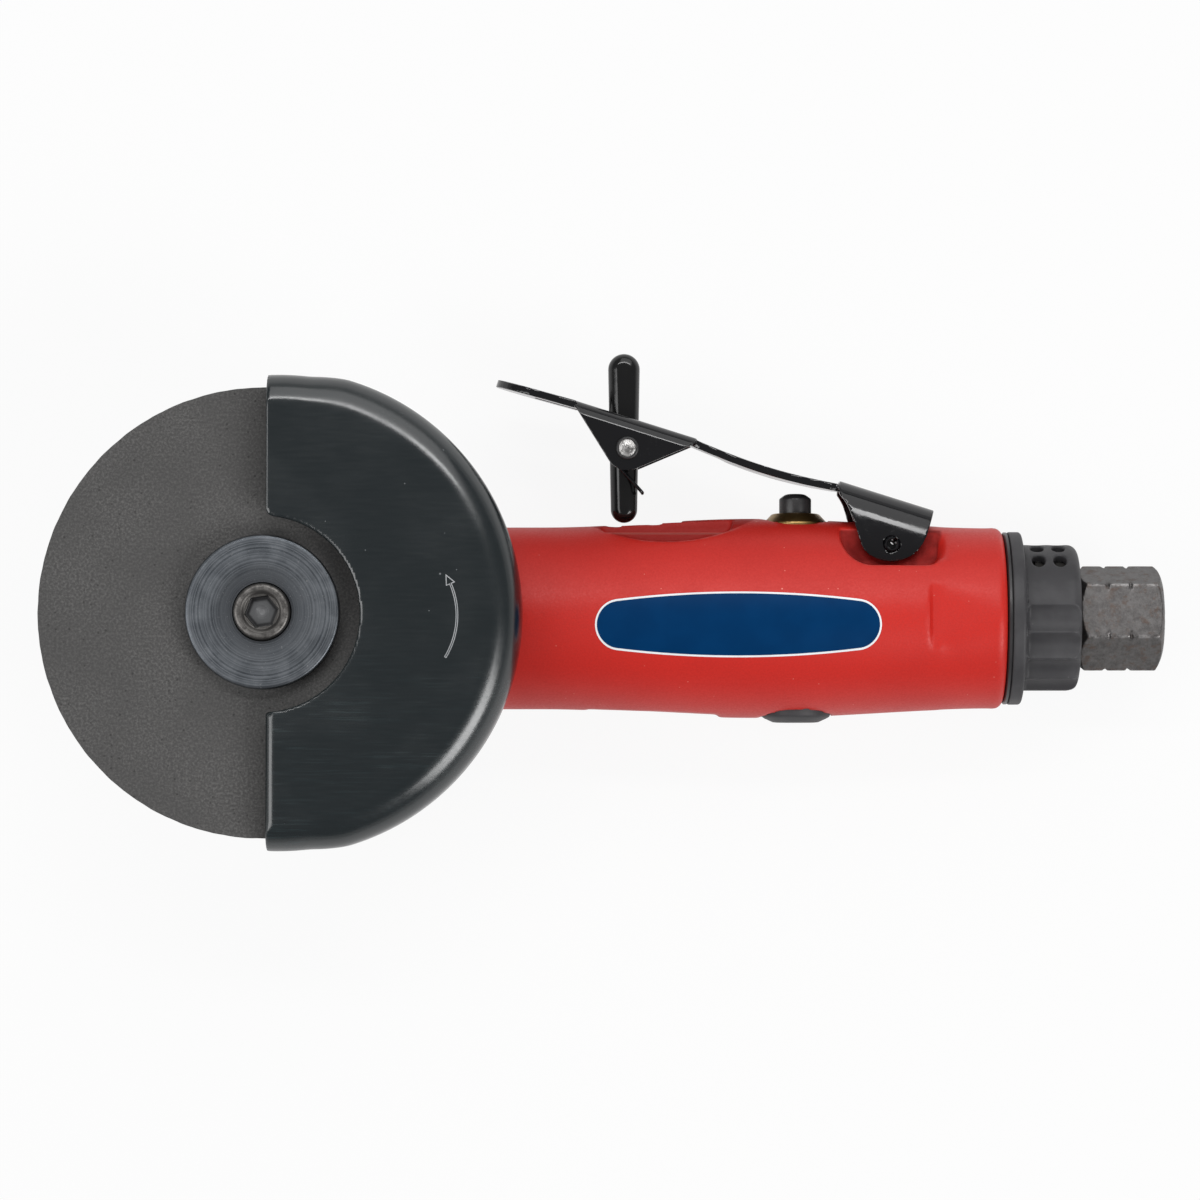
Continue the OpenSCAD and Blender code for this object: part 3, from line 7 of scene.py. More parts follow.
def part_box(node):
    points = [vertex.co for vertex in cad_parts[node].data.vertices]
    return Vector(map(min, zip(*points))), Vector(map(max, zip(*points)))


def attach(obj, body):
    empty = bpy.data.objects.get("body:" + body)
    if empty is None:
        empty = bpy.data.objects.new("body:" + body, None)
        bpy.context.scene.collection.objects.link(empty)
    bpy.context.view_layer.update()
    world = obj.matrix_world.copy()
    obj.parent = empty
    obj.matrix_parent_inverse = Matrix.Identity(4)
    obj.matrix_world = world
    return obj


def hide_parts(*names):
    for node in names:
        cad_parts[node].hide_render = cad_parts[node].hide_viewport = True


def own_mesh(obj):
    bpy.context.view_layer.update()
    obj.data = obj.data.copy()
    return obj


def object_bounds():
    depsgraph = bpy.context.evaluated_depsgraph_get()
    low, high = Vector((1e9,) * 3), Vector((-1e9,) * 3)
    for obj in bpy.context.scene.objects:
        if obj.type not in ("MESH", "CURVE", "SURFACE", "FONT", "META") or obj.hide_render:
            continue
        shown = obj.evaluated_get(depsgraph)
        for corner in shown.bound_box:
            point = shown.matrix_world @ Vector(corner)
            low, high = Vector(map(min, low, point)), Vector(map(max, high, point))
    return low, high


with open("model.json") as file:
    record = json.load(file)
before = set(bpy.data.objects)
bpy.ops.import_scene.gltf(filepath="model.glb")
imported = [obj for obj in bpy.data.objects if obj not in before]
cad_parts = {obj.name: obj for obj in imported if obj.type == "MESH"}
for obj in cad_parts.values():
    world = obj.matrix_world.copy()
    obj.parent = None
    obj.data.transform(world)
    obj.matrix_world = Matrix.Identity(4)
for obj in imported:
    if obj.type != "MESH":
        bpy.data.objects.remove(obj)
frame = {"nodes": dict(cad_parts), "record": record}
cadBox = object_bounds()
mm = 0.001
bodyLow, bodyHigh = (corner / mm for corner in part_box("motor_housing"))
axisH = (bodyLow.z + bodyHigh.z) / 2  # height of the body's axis

# camera straight over the disc's face, a little to the low side
view = {"aim": (56.75, 3.2, 17.3), "away": 850.0, "tilt": 2.4, "across": 208.6}
tilt = math.radians(view["tilt"])
standPoint = Vector(view["aim"]) + view["away"] * Vector((0, -math.sin(tilt), math.cos(tilt)))
bpy.ops.object.select_all(action="DESELECT")
bpy.ops.object.camera_add(location=standPoint * mm, rotation=(tilt, 0, 0))
camera = bpy.context.active_object
camera.data.lens = camera.data.sensor_width * view["away"] / view["across"]
bpy.context.scene.camera = camera
bpy.context.scene.view_settings.view_transform = "Standard"


class Wire:  # one socket, so that shader maths can be written as sums
    def __init__(self, tree, socket):
        self.tree = tree
        self.socket = socket

    def node(self, kind, settings, inputs, output=0):
        made = self.tree.nodes.new(kind)
        for name, value in settings.items():
            setattr(made, name, value)
        for name, value in inputs.items():
            if isinstance(value, Wire):
                self.tree.links.new(value.socket, made.inputs[name])
            else:
                made.inputs[name].default_value = value
        return Wire(self.tree, made.outputs[output])

    def also(self, output):  # another socket of the same node
        return Wire(self.tree, self.socket.node.outputs[output])

    def math(self, operation, *values):
        return self.node("ShaderNodeMath", {"operation": operation}, dict(enumerate(values)))

    def __add__(self, other):
        return self.math("ADD", self, other)

    def __sub__(self, other):
        return self.math("SUBTRACT", self, other)

    def __rsub__(self, other):
        return self.math("SUBTRACT", other, self)

    def __mul__(self, other):
        return self.math("MULTIPLY", self, other)

    __radd__ = __add__
    __rmul__ = __mul__

    def between(self, low, high):  # 0 at low, 1 at high, eased
        limits = {"Value": self, "From Min": low, "From Max": high}
        return self.node("ShaderNodeMapRange", {"interpolation_type": "SMOOTHSTEP"}, limits)

    def within(self, rise, fall):  # 1 between the two slopes
        return self.between(*rise) * self.between(*fall)

    def larger(self, other):
        return self.math("MAXIMUM", self, other)

    def size(self):  # without its sign
        return self.math("ABSOLUTE", self)

    def above(self, level):
        return self.math("GREATER_THAN", self, level)

    def tint(self, first, second):  # first where this is 0, second where it is 1
        return self.node("ShaderNodeMix", {"data_type": "RGBA"}, {0: self, 6: first, 7: second}, 2)

    def shift(self, offset):
        return self.node("ShaderNodeVectorMath", {"operation": "ADD"}, {0: self, 1: offset})

    def stretch(self, scale):
        return self.node("ShaderNodeVectorMath", {"operation": "MULTIPLY"}, {0: self, 1: scale})

    def length(self):
        return self.node("ShaderNodeVectorMath", {"operation": "LENGTH"}, {0: self}, 1)

    def axis(self, index):
        return self.node("ShaderNodeSeparateXYZ", {}, {0: self}, index)

    def noise(self, size, detail=2.0, rough=0.5):  # size of the grain in mm
        given = {"Vector": self, "Scale": 1 / (size * mm), "Detail": detail, "Roughness": rough}
        return self.node("ShaderNodeTexNoise", {}, given)

    def bands(self, width, detail):  # noise along a single value, width in mm
        given = {"W": self, "Scale": 1 / (width * mm), "Detail": detail}
        return self.node("ShaderNodeTexNoise", {"noise_dimensions": "1D"}, given)

    def specks(self, size, spread, share):  # dots in mm, one to a cell, in a share of the cells
        cell = self.node("ShaderNodeTexVoronoi", {}, {"Vector": self, "Scale": 1 / (spread * mm)})
        chance = self.node("ShaderNodeSeparateColor", {}, {"Color": cell.also("Color")})
        reach = size / 2 / spread
        return (1 - cell.between(reach * 0.5, reach)) * chance.above(1 - share)

    def bump(self, height, strength):  # height in mm
        return self.node("ShaderNodeBump", {}, {"Height": self, "Distance": height * mm, "Strength": strength})


def newFinish(name, constants):
    finish = bpy.data.materials.new(name)
    finish.use_nodes = True
    shader = finish.node_tree.nodes["Principled BSDF"]
    for socket, value in constants.items():
        shader.inputs[socket].default_value = value
    place = Wire(finish.node_tree, finish.node_tree.nodes.new("ShaderNodeTexCoord").outputs["Object"])
    return finish, place


def feed(finish, colour, rough, normal, metal=None):
    shader = finish.node_tree.nodes["Principled BSDF"]
    links = {"Base Color": colour, "Roughness": rough, "Normal": normal, "Metallic": metal}
    for socket, wire in links.items():
        if wire is not None:
            finish.node_tree.links.new(wire.socket, shader.inputs[socket])
    return finish


def redComposite():
    # the last tone is painted shade for the scoops and ear pockets
    tone = {"red": (0.580, 0.022, 0.015, 1), "deep": (0.465, 0.014, 0.009, 1),
            "dust": (0.74, 0.30, 0.25, 1), "paintedShade": (0.19, 0.006, 0.004, 1)}
    # places of the painted shade in the scoops and ear pockets, and of the painted highlight along the ledge's edge
    hollows = {"scoop": (-0.0683, -0.0428, 0), "scoopEdge": (0.0297, 0.0301), "scoopDepth": (0.0066, 0.0050),
               "lip": ((0.0141, 0.0144), (0.0149, 0.0146)), "pocketX": ((0.0976, 0.0984), (0.1160, 0.1152)),
               "pocketY": ((0.0083, 0.0088), (0.0152, 0.0147)), "pocketDepth": (0.0078, 0.0070)}  # in metres
    finish, place = newFinish("redComposite", {"Specular IOR Level": 0.32})
    cloud = place.noise(13, 3).between(0.3, 0.75)
    grain = place.noise(0.34, 3, 0.65).between(0.3, 0.7)
    dots = (place.specks(0.26, 1.5, 0.22) * 0.6).larger(place.specks(0.42, 4.2, 0.3) * 0.85)
    # the scoop and pocket masks below carry painted shade, darker where the scoop is deeper
    away = place.shift(hollows["scoop"]).stretch((1, 1, 0)).length()
    x, y, depth = place.axis(0), place.axis(1), (place.axis(2) - axisH * mm).size()
    inside = 1 - away.between(*hollows["scoopEdge"])
    scoop = inside * (0.66 - 0.16 * depth.between(*hollows["scoopDepth"]))
    lip = inside * y.within(*hollows["lip"])  # pale line along the ledge's edge, a painted highlight in the dust tone
    pocket = x.within(*hollows["pocketX"]) * y.within(*hollows["pocketY"]) * depth.between(*hollows["pocketDepth"])
    colour = dots.tint((0.3 * cloud + 0.45 * grain).tint(tone["red"], tone["deep"]), tone["dust"])
    # painted shade in the scoops and ear pockets, patchy in the pockets
    hollow = scoop.larger(pocket * (0.6 + 0.35 * place.noise(3, 3).between(0.35, 0.65)))
    # the hollows are tinted to a dark red as painted shade
    colour = (lip * 0.22).tint(hollow.tint(colour, tone["paintedShade"]), tone["dust"])
    rough = 0.34 + 0.12 * grain + 0.05 * cloud + 0.4 * hollow
    return feed(finish, colour, rough, grain.bump(0.014, 0.6))


def guardBlack():
    tone = {"coat": (0.0024, 0.0066, 0.0082, 1), "worn": (0.0070, 0.0180, 0.0205, 1), "dust": (0.20, 0.21, 0.22, 1)}
    finish, place = newFinish("guardBlack", {"Specular IOR Level": 0.95})
    low = place.axis(1).between(0.004, -0.030)  # the scratched lower half
    lines = place.stretch((0.04, 1, 1)).noise(0.3, 3, 0.6).between(0.5, 0.72)
    cloud = place.noise(14, 2).between(0.4, 0.65)
    peel = place.noise(1.1, 2)
    brush = place.stretch((0.1, 1, 1)).noise(0.5, 3, 0.6)
    dots = (place.specks(0.26, 2.2, 0.22) * 0.6).larger(place.specks(0.6, 8, 0.3) * 0.8)
    wear = lines * (0.12 + 0.88 * low) * (0.4 + 0.6 * cloud)
    colour = dots.tint(wear.tint(tone["coat"], tone["worn"]), tone["dust"])
    rough = 0.15 + 0.05 * cloud + 0.11 * brush + 0.06 * wear + 0.2 * dots
    return feed(finish, colour, rough, (peel + 0.6 * brush).bump(0.012, 0.6))


def bondedAbrasive():
    tone = {"bond": (0.058, 0.057, 0.056, 1), "grit": (0.128, 0.125, 0.122, 1), "pit": (0.030, 0.029, 0.028, 1)}
    finish, place = newFinish("bondedAbrasive", {"Specular IOR Level": 0.3})
    grit = place.noise(0.42, 4, 0.7)
    cloud = place.noise(11, 3).between(0.3, 0.7)
    pits = place.specks(0.5, 1.2, 0.35)
    colour = (grit.between(0.38, 0.72) * (0.55 + 0.45 * cloud)).tint(tone["bond"], tone["grit"])
    colour = (pits * 0.7).tint(colour, tone["pit"])
    relief = grit - 0.6 * pits
    return feed(finish, colour, 0.68 + 0.2 * grit, relief.bump(0.08, 0.7))


def turnedSteel(name, tone, pitch):  # lathe rings round the disc's centre
    finish, place = newFinish(name, {"Metallic": 1.0})
    radius = place.stretch((1, 1, 0)).length()
    coarse, rings = radius.bands(pitch * 3, 2.0), radius.bands(pitch, 3.0)
    cloud = place.noise(3, 3).between(0.3, 0.75)
    scratch = place.noise(0.35, 4, 0.65).between(0.62, 0.74)
    dots = place.specks(0.2, 1.1, 0.16) * 0.8
    colour = (0.55 * rings.between(0.3, 0.7) + 0.45 * cloud).tint(tone["oxide"], tone["light"])
    # darker towards the middle, round the screw head
    colour = ((1 - radius.between(0.0055, 0.0105)) * (0.45 + 0.4 * cloud)).tint(colour, tone["innerDark"])
    colour = (scratch * 0.35).larger(dots).tint(colour, tone["worn"])
    rough = 0.34 + 0.14 * rings + 0.06 * cloud + 0.15 * dots
    relief = 0.7 * rings + 0.5 * coarse
    return feed(finish, colour, rough, relief.bump(0.035, 0.7))


def socketScrew(top, turn):  # worn rim, socket walls and the floor's edge darkened as painted shade, a paler spot in the floor's middle
    # the deep tone is painted shade in the socket
    tone = {"steel": (0.088, 0.084, 0.080, 1), "worn": (0.23, 0.22, 0.21, 1), "deep": (0.010, 0.010, 0.011, 1),
            "floor": (0.085, 0.087, 0.090, 1), "spot": (0.16, 0.162, 0.166, 1)}
    finish, place = newFinish("socketScrew", {})
    radius = place.stretch((1, 1, 0)).length()
    depth = top * mm - place.axis(2)
    cloud = place.noise(0.9, 4, 0.65)
    rim = (1 - (radius - 0.0041).size().between(0.0002, 0.0006)) * cloud.between(0.35, 0.65)
    # painted shade: the socket's walls are tinted near black and made less metallic
    well = depth.between(0.0005, 0.0009) * (1 - radius.between(0.0028, 0.0032))
    turns = [math.radians(turn + 30 + 60 * i) for i in range(3)]
    across = [(place.axis(0) * math.cos(a) + place.axis(1) * math.sin(a)).size() for a in turns]
    reach = across[0].larger(across[1]).larger(across[2])  # distance towards the hexagon's flats
    # painted shade: the floor stays dark along the walls
    bottom = well * depth.between(0.0018, 0.0020) * (1 - reach.between(0.0017, 0.0021))
    spot = bottom * (1 - radius.between(0.0008, 0.0011))
    colour = (rim * 0.8).tint(tone["steel"], tone["worn"])
    colour = spot.tint(bottom.tint(well.tint(colour, tone["deep"]), tone["floor"]), tone["spot"])
    return feed(finish, colour, 0.34 + 0.2 * cloud, cloud.bump(0.03, 0.5), 1 - 0.9 * well)


def plainMetal(name, tone, rough, grain):
    finish, place = newFinish(name, {"Metallic": 1.0})
    cloud = place.noise(grain * 12, 3).between(0.3, 0.7)
    fine = place.noise(grain, 3, 0.6)
    colour = cloud.tint(tone[0], tone[1])
    return feed(finish, colour, rough + 0.12 * fine, fine.bump(grain * 0.06, 0.5))


def glossBlack(name, tone, rough, scuff):
    finish, place = newFinish(name, {"Specular IOR Level": 0.5})
    peel = place.noise(1.6, 2)
    cloud = place.noise(6, 3).between(0.45, 0.7)
    dots = place.specks(0.2, 1.7, 0.2) * 0.5
    fine = place.noise(0.3, 3, 0.6).between(0.55, 0.75)
    colour = (dots + scuff * fine * cloud).tint(tone[0], tone[1])
    return feed(finish, colour, rough + 0.09 * cloud + 0.15 * dots, peel.bump(0.02, 0.5))


def mouldedGrey(name, tone, rough, grain):
    finish, place = newFinish(name, {"Specular IOR Level": 0.4})
    fine = place.noise(grain, 3, 0.6)
    cloud = place.noise(grain * 14, 3).between(0.35, 0.7)
    dots = place.specks(0.25, 1.6, 0.25) * 0.35
    colour = dots.tint(cloud.tint(tone[0], tone[1]), tone[2])
    return feed(finish, colour, rough + 0.12 * fine, fine.bump(grain * 0.08, 0.6))


def rawSteel():
    tone = {"steel": (0.140, 0.134, 0.132, 1), "dark": (0.078, 0.074, 0.073, 1),
            "rust": (0.125, 0.078, 0.056, 1), "worn": (0.40, 0.39, 0.385, 1)}
    finish, place = newFinish("rawSteel", {"Metallic": 0.85})
    streak = place.stretch((1, 1, 0.2)).noise(0.45, 4, 0.65)
    cloud = place.noise(1.5, 5, 0.65)
    rust = place.shift((0.3, 0.1, 0.2)).noise(1.7, 5, 0.7).between(0.5, 0.68)
    away = place.shift((0, 0, -axisH * mm)).stretch((0, 1, 1)).length()
    edge = away.between(0.00898, 0.00918) * cloud.between(0.4, 0.65)  # rubbed corners of the hexagon
    colour = (0.65 * cloud + 0.35 * streak).between(0.32, 0.66).tint(tone["dark"], tone["steel"])
    colour = (rust * 0.5).tint(colour, tone["rust"])
    colour = (edge * 0.55).tint(colour, tone["worn"])
    rough = 0.36 + 0.12 * cloud + 0.14 * rust
    return feed(finish, colour, rough, (streak + 0.5 * rust).bump(0.03, 0.6))


def peenedRivet(x, y):  # bright beaten middle in a black ring
    tone = {"bright": (0.50, 0.49, 0.48, 1), "dull": (0.19, 0.185, 0.18, 1), "ring": (0.022, 0.022, 0.023, 1)}
    finish, place = newFinish("peenedRivet", {})
    beaten = place.noise(0.7, 4, 0.65)
    radius = place.shift((-x * mm, -y * mm, 0)).stretch((1, 1, 0)).length() + 0.0006 * (beaten - 0.5)
    ring = radius.between(0.00136, 0.00158)
    colour = ring.tint(beaten.between(0.35, 0.6).tint(tone["dull"], tone["bright"]), tone["ring"])
    return feed(finish, colour, 0.2 + 0.3 * beaten, beaten.bump(0.12, 0.7), 1 - ring)


def printedFilm(name, tone):
    finish, place = newFinish(name, {"Specular IOR Level": 0.05})
    cloud = place.noise(5, 2).between(0.35, 0.7)
    fine = place.noise(0.3, 2)
    colour = cloud.tint(tone[0], tone[1])
    return feed(finish, colour, 0.32 + 0.1 * fine, fine.bump(0.004, 0.4))


oxideTone = {"oxide": (0.070, 0.078, 0.088, 1), "light": (0.178, 0.190, 0.205, 1),
             "worn": (0.40, 0.40, 0.40, 1), "innerDark": (0.062, 0.066, 0.072, 1)}
finishes = {
    "red_composite": redComposite(),
    "guard_black": guardBlack(),
    "bonded_abrasive": bondedAbrasive(),
    "oxide_steel": turnedSteel("oxideSteel", oxideTone, 0.32),
    "cast_alloy": plainMetal("castAlloy", [(0.455, 0.455, 0.455, 1), (0.50, 0.50, 0.495, 1)], 0.42, 0.5),
    "ground_steel": plainMetal("groundSteel", [(0.52, 0.52, 0.53, 1), (0.66, 0.66, 0.66, 1)], 0.2, 0.25),
    "plate_alloy": plainMetal("plateAlloy", [(0.50, 0.50, 0.49, 1), (0.60, 0.60, 0.59, 1)], 0.3, 0.35),
    "turned_brass": plainMetal("turnedBrass", [(0.29, 0.175, 0.060, 1), (0.46, 0.31, 0.13, 1)], 0.28, 0.3),
    "gloss_black_steel": glossBlack("glossBlackSteel", [(0.006, 0.006, 0.007, 1), (0.09, 0.09, 0.095, 1)],
                                    0.07, 0.25),
    "gloss_black_plastic": glossBlack("glossBlackPlastic", [(0.006, 0.006, 0.006, 1), (0.08, 0.08, 0.08, 1)],
                                      0.12, 0.12),
    "stem_black": glossBlack("stemBlack", [(0.024, 0.023, 0.024, 1), (0.14, 0.14, 0.14, 1)], 0.32, 0.5),
    "grey_plastic": mouldedGrey("greyPlastic", [(0.035, 0.034, 0.037, 1), (0.050, 0.049, 0.052, 1),
                                                (0.2, 0.2, 0.2, 1)], 0.46, 0.35),
    "raw_steel": rawSteel(),
    "seal_rubber": mouldedGrey("sealRubber", [(0.012, 0.012, 0.012, 1), (0.020, 0.020, 0.020, 1),
                                              (0.08, 0.08, 0.08, 1)], 0.6, 0.3),
    "felt": mouldedGrey("feltGrey", [(0.030, 0.028, 0.026, 1), (0.050, 0.047, 0.043, 1),
                                     (0.1, 0.095, 0.09, 1)], 0.85, 0.4),
    "vane_resin": mouldedGrey("vaneResin", [(0.16, 0.075, 0.03, 1), (0.21, 0.10, 0.045, 1),
                                            (0.3, 0.2, 0.1, 1)], 0.5, 0.3),
    "label_navy": printedFilm("labelNavy", [(0.0004, 0.029, 0.102, 1), (0.0006, 0.033, 0.114, 1)]),
    "label_white": printedFilm("labelWhite", [(0.78, 0.80, 0.82, 1), (0.84, 0.86, 0.88, 1)]),
    "mark_grey": printedFilm("markGrey", [(0.30, 0.31, 0.32, 1), (0.42, 0.43, 0.44, 1)]),
}
print("finishes made:", len(finishes))


def only(piece):
    bpy.ops.object.select_all(action="DESELECT")
    piece.select_set(True)
    bpy.context.view_layer.objects.active = piece


def named(name):
    piece = bpy.context.active_object
    piece.name = name
    piece.data.name = name
    return piece


def penLine(points):  # an edge line through points in mm, left in edit mode
    bpy.ops.object.select_all(action="DESELECT")
    bpy.ops.mesh.primitive_plane_add(size=mm)
    bpy.ops.object.mode_set(mode="EDIT")
    bpy.ops.mesh.merge(type="CENTER")
    bpy.ops.transform.translate(value=Vector(points[0]) * mm)
    for here, there in zip(points, points[1:]):
        step = (Vector(there) - Vector(here)) * mm
        bpy.ops.mesh.extrude_region_move(TRANSFORM_OT_translate={"value": step})
    bpy.ops.mesh.select_all(action="SELECT")


def sealMesh():  # merge doubles, face outwards, leave edit mode
    bpy.ops.mesh.select_all(action="SELECT")
    bpy.ops.mesh.remove_doubles(threshold=0.002 * mm)
    bpy.ops.mesh.normals_make_consistent(inside=False)
    bpy.ops.object.mode_set(mode="OBJECT")


def turned(name, axis, centre, profile, steps):  # profile of (radius, height along the axis)
    along = Vector([float(axis == letter) for letter in "XYZ"])
    out = Vector((1, 0, 0)) if axis == "Z" else Vector((0, 0, 1))
    penLine([Vector(centre) + along * height + out * radius for radius, height in profile])
    bpy.ops.mesh.spin(steps=steps, angle=math.tau, center=Vector(centre) * mm, axis=along)
    sealMesh()
    return named(name)


def block(name, axis, outline, low, high):  # a closed outline across the axis, pulled from low to high
    order = {"X": lambda a, b, c: (c, a, b), "Y": lambda a, b, c: (a, c, b), "Z": lambda a, b, c: (a, b, c)}[axis]
    penLine([order(a, b, low) for a, b in outline])
    bpy.ops.mesh.edge_face_add()
    bpy.ops.mesh.extrude_region_move(TRANSFORM_OT_translate={"value": Vector(order(0, 0, high - low)) * mm})
    sealMesh()
    return named(name)


def rod(axis, centre, radius, low, high, steps):  # a plain cylinder to cut or join with
    return turned("tool", axis, centre, [(0, low), (radius, low), (radius, high), (0, high)], steps)


def onCircle(x, y, radius, turn):
    a = math.radians(turn)
    return (x + radius * math.cos(a), y + radius * math.sin(a))


def arc(x, y, radius, start, end, steps):
    return [onCircle(x, y, radius, start + (end - start) * i / steps) for i in range(steps + 1)]


def disk(x, y, radius, steps):
    return arc(x, y, radius, 0, 360 * (1 - 1 / steps), steps - 1)


def hexagon(x, y, across, turn):  # across its flats
    return [onCircle(x, y, across / math.sqrt(3), 60 * i + turn) for i in range(6)]


def rectangle(left, low, right, high):
    return [(left, low), (right, low), (right, high), (left, high)]


def tray(start, end, floor, rounds, top):  # open at the top, with (radius, steps) for each round of its floor
    (frontR, frontSteps), (rearR, rearSteps) = rounds
    outline = [(start, top)] + arc(start + frontR, floor + frontR, frontR, 180, 270, frontSteps)
    return outline + arc(end - rearR, floor + rearR, rearR, 270, 360, rearSteps) + [(end, top)]


def pick(table, keys):
    return [table[key] for key in keys.split()]


def ease(share):
    return (1 - math.cos(math.pi * share)) / 2


def applied(piece, kind, **settings):  # one modifier, set and applied
    only(piece)
    modifier = piece.modifiers.new(kind.title(), kind)
    for name, value in settings.items():
        setattr(modifier, name, value)
    bpy.ops.object.modifier_apply(modifier=modifier.name)


def carve(piece, tool, how="DIFFERENCE"):
    applied(piece, "BOOLEAN", object=tool, operation=how, solver="EXACT")
    bpy.data.objects.remove(tool)


def soften(piece, voxel, rounds):  # even mesh laid back on the crisp form, then its edges eased
    only(piece)
    bpy.ops.object.duplicate()
    crisp = bpy.context.active_object
    applied(piece, "REMESH", mode="VOXEL", voxel_size=voxel * mm)
    applied(piece, "SHRINKWRAP", target=crisp, wrap_method="NEAREST_SURFACEPOINT")
    applied(piece, "SMOOTH", factor=0.5, iterations=rounds)
    bpy.data.objects.remove(crisp)
    only(piece)
    bpy.ops.object.shade_smooth()


def dress(piece, body, slot, *nodes, angle=None, finish=None):
    only(piece)
    if angle:
        bpy.ops.object.shade_smooth_by_angle(angle=math.radians(angle))
    piece.data.materials.clear()
    piece.data.materials.append(finishes[finish or slot])
    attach(piece, body)
    if nodes:
        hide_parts(*nodes)
    print("piece", piece.name, "on", body, "with", len(piece.data.polygons), "faces")


# motor housing: a turned body with scoops beside the ridge, ear pockets, valve holes and wrench flats
housing = {"noseR": 15.8, "noseRun": 11.0, "noseEdge": 0.5, "bellyX": 83.0, "tailR": 15.7, "tailEdge": 1.5,
           "station": 1.5, "ridge": 6.85, "scoop": (68.3, 42.8, 30.0),  # x, y and radius
           "ledge": (56.6, 79.6, 14.5, ((1.6, 8), (1.6, 8))), "ledgeDepth": 3.2,  # start, end, floor and rounds
           "pocket": (98.0, 115.4, 8.63, ((5.5, 12), (2.5, 8))), "flat": (112.7, 113.4, 14.9, 15.95),
           "under": [(53.6, -25), (54.6, -15.75), (66, -16.1), (77.2, -16.65), (78.4, -25)],
           "valveX": 90.7, "bushR": 5.68, "bushFloor": 6, "dialR": 6.06, "dialFloor": -9, "waistR": 4.5,
           "boreR": 12.48, "boreEnd": 81.8, "inletR": 6.53, "inletFrom": 111.2, "pivot": (107.0, 12.5), "pivotR": 1.43,
           "mesh": (0.47, 4),  # voxel and rounds of easing
           "blend": (115.0, 124.6), "blendRounds": 90}
noseX, tailX, bellyR = bodyLow.x, bodyHigh.x, (bodyHigh.z - bodyLow.z) / 2

# notch in the ridge that the lock-off tab's tip passes through as the lever goes down
notch = {"tipR": 2.6, "tip": (-0.55, -10.13), "slack": 0.3, "half": 2.65, "hub": (61.4716, 29.057),
         "tabTurn": 72, "leverTurn": 12, "steps": 8, "reachY": 17.4}


def girth(x):
    riseX = noseX + housing["noseRun"]
    if x <= riseX:
        return housing["noseR"]
    if x <= housing["bellyX"]:
        return housing["noseR"] + (bellyR - housing["noseR"]) * ease((x - riseX) / (housing["bellyX"] - riseX))
    return bellyR + (housing["tailR"] - bellyR) * ease((x - housing["bellyX"]) / (tailX - housing["bellyX"]))


def cutNotch(body):
    (x, y), (hubX, hubY), (tipX, tipY) = housing["pivot"], notch["hub"], notch["tip"]
    r, slack, half = notch["tipR"], notch["slack"], notch["half"]
    outline = arc(tipX, tipY, r, 180, 360, 24) + [(tipX + r + slack, 0), (tipX - r - slack, 0)]
    arm = Vector((hubX - x, hubY - y, 0))
    for i in range(1, notch["steps"] + 1):
        swing = Matrix.Rotation(math.radians(notch["tabTurn"] * i / notch["steps"]), 3, "Z")
        sink = Matrix.Rotation(math.radians(notch["leverTurn"] * i / notch["steps"]), 3, "Z")
        hub = Vector((x, y, 0)) + sink @ arm
        spots = [tuple((hub + swing @ Vector((*spot, 0))).xy) for spot in outline]
        if min(spotY for _, spotY in spots) < notch["reachY"]:
            carve(body, block("tool", "Z", spots, axisH - half, axisH + half))


def makeHousing():
    nose, tail = housing["noseEdge"], housing["tailEdge"]
    profile = [(0, noseX), (housing["noseR"] - nose, noseX), (housing["noseR"], noseX + nose)]
    stations = [noseX + housing["noseRun"] + i * housing["station"] for i in range(50)]
    profile += [(girth(x), x) for x in stations if x < tailX - tail - 0.4]
    profile += arc(housing["tailR"] - tail, tailX - tail, tail, 0, 90, 8) + [(0, tailX)]
    middle = (0, 0, axisH)
    body = turned("housingShell", "X", middle, profile, 224)
    top, ridge = bellyR + 2, housing["ridge"]
    scoop, pocket, ledge = disk(*housing["scoop"], 240), tray(*housing["pocket"], top), tray(*housing["ledge"], top)
    slope, flatX, flatZ, runOut = housing["flat"]
    flat = [(slope, bellyR), (flatX, flatZ), (tailX + 2, runOut), (tailX + 2, top), (slope, top)]
    for side in (-1, 1):
        for outline, depth in ((scoop, ridge), (pocket, ridge), (ledge, housing["ledgeDepth"])):
            near, far = sorted((axisH + side * depth, axisH + side * top))
            carve(body, block("tool", "Z", outline, near, far))
        carve(body, block("tool", "Y", [(x, axisH + side * z) for x, z in flat], -top, top))
    carve(body, block("tool", "Z", housing["under"], axisH - top, axisH + top))  # shallow flat below
    valveSpot, bushFloor, dialFloor = (housing["valveX"], 0, axisH), housing["bushFloor"], housing["dialFloor"]
    carve(body, rod("Y", valveSpot, housing["bushR"], bushFloor, top, 96))
    carve(body, rod("Y", valveSpot, housing["dialR"], -top, dialFloor, 96))
    carve(body, rod("Y", valveSpot, housing["waistR"], dialFloor - 0.5, bushFloor + 0.5, 64))
    carve(body, rod("X", middle, housing["boreR"], noseX - 1, housing["boreEnd"], 128))
    carve(body, rod("X", middle, housing["inletR"], housing["inletFrom"], tailX + 1, 96))
    carve(body, block("tool", "Z", disk(*housing["pivot"], housing["pivotR"], 40), axisH - top, axisH + top))
    cutNotch(body)
    soften(body, *housing["mesh"])
    start, end = housing["blend"]  # the flats run out towards the tail
    tailEnd = body.vertex_groups.new(name="tailEnd")
    tailEnd.add([v.index for v in body.data.vertices if start < v.co.x / mm < end], 1.0, "REPLACE")
    applied(body, "SMOOTH", factor=0.5, iterations=housing["blendRounds"], vertex_group="tailEnd")
    return body


dress(makeHousing(), "housing", "red_composite", "motor_housing", angle=32)

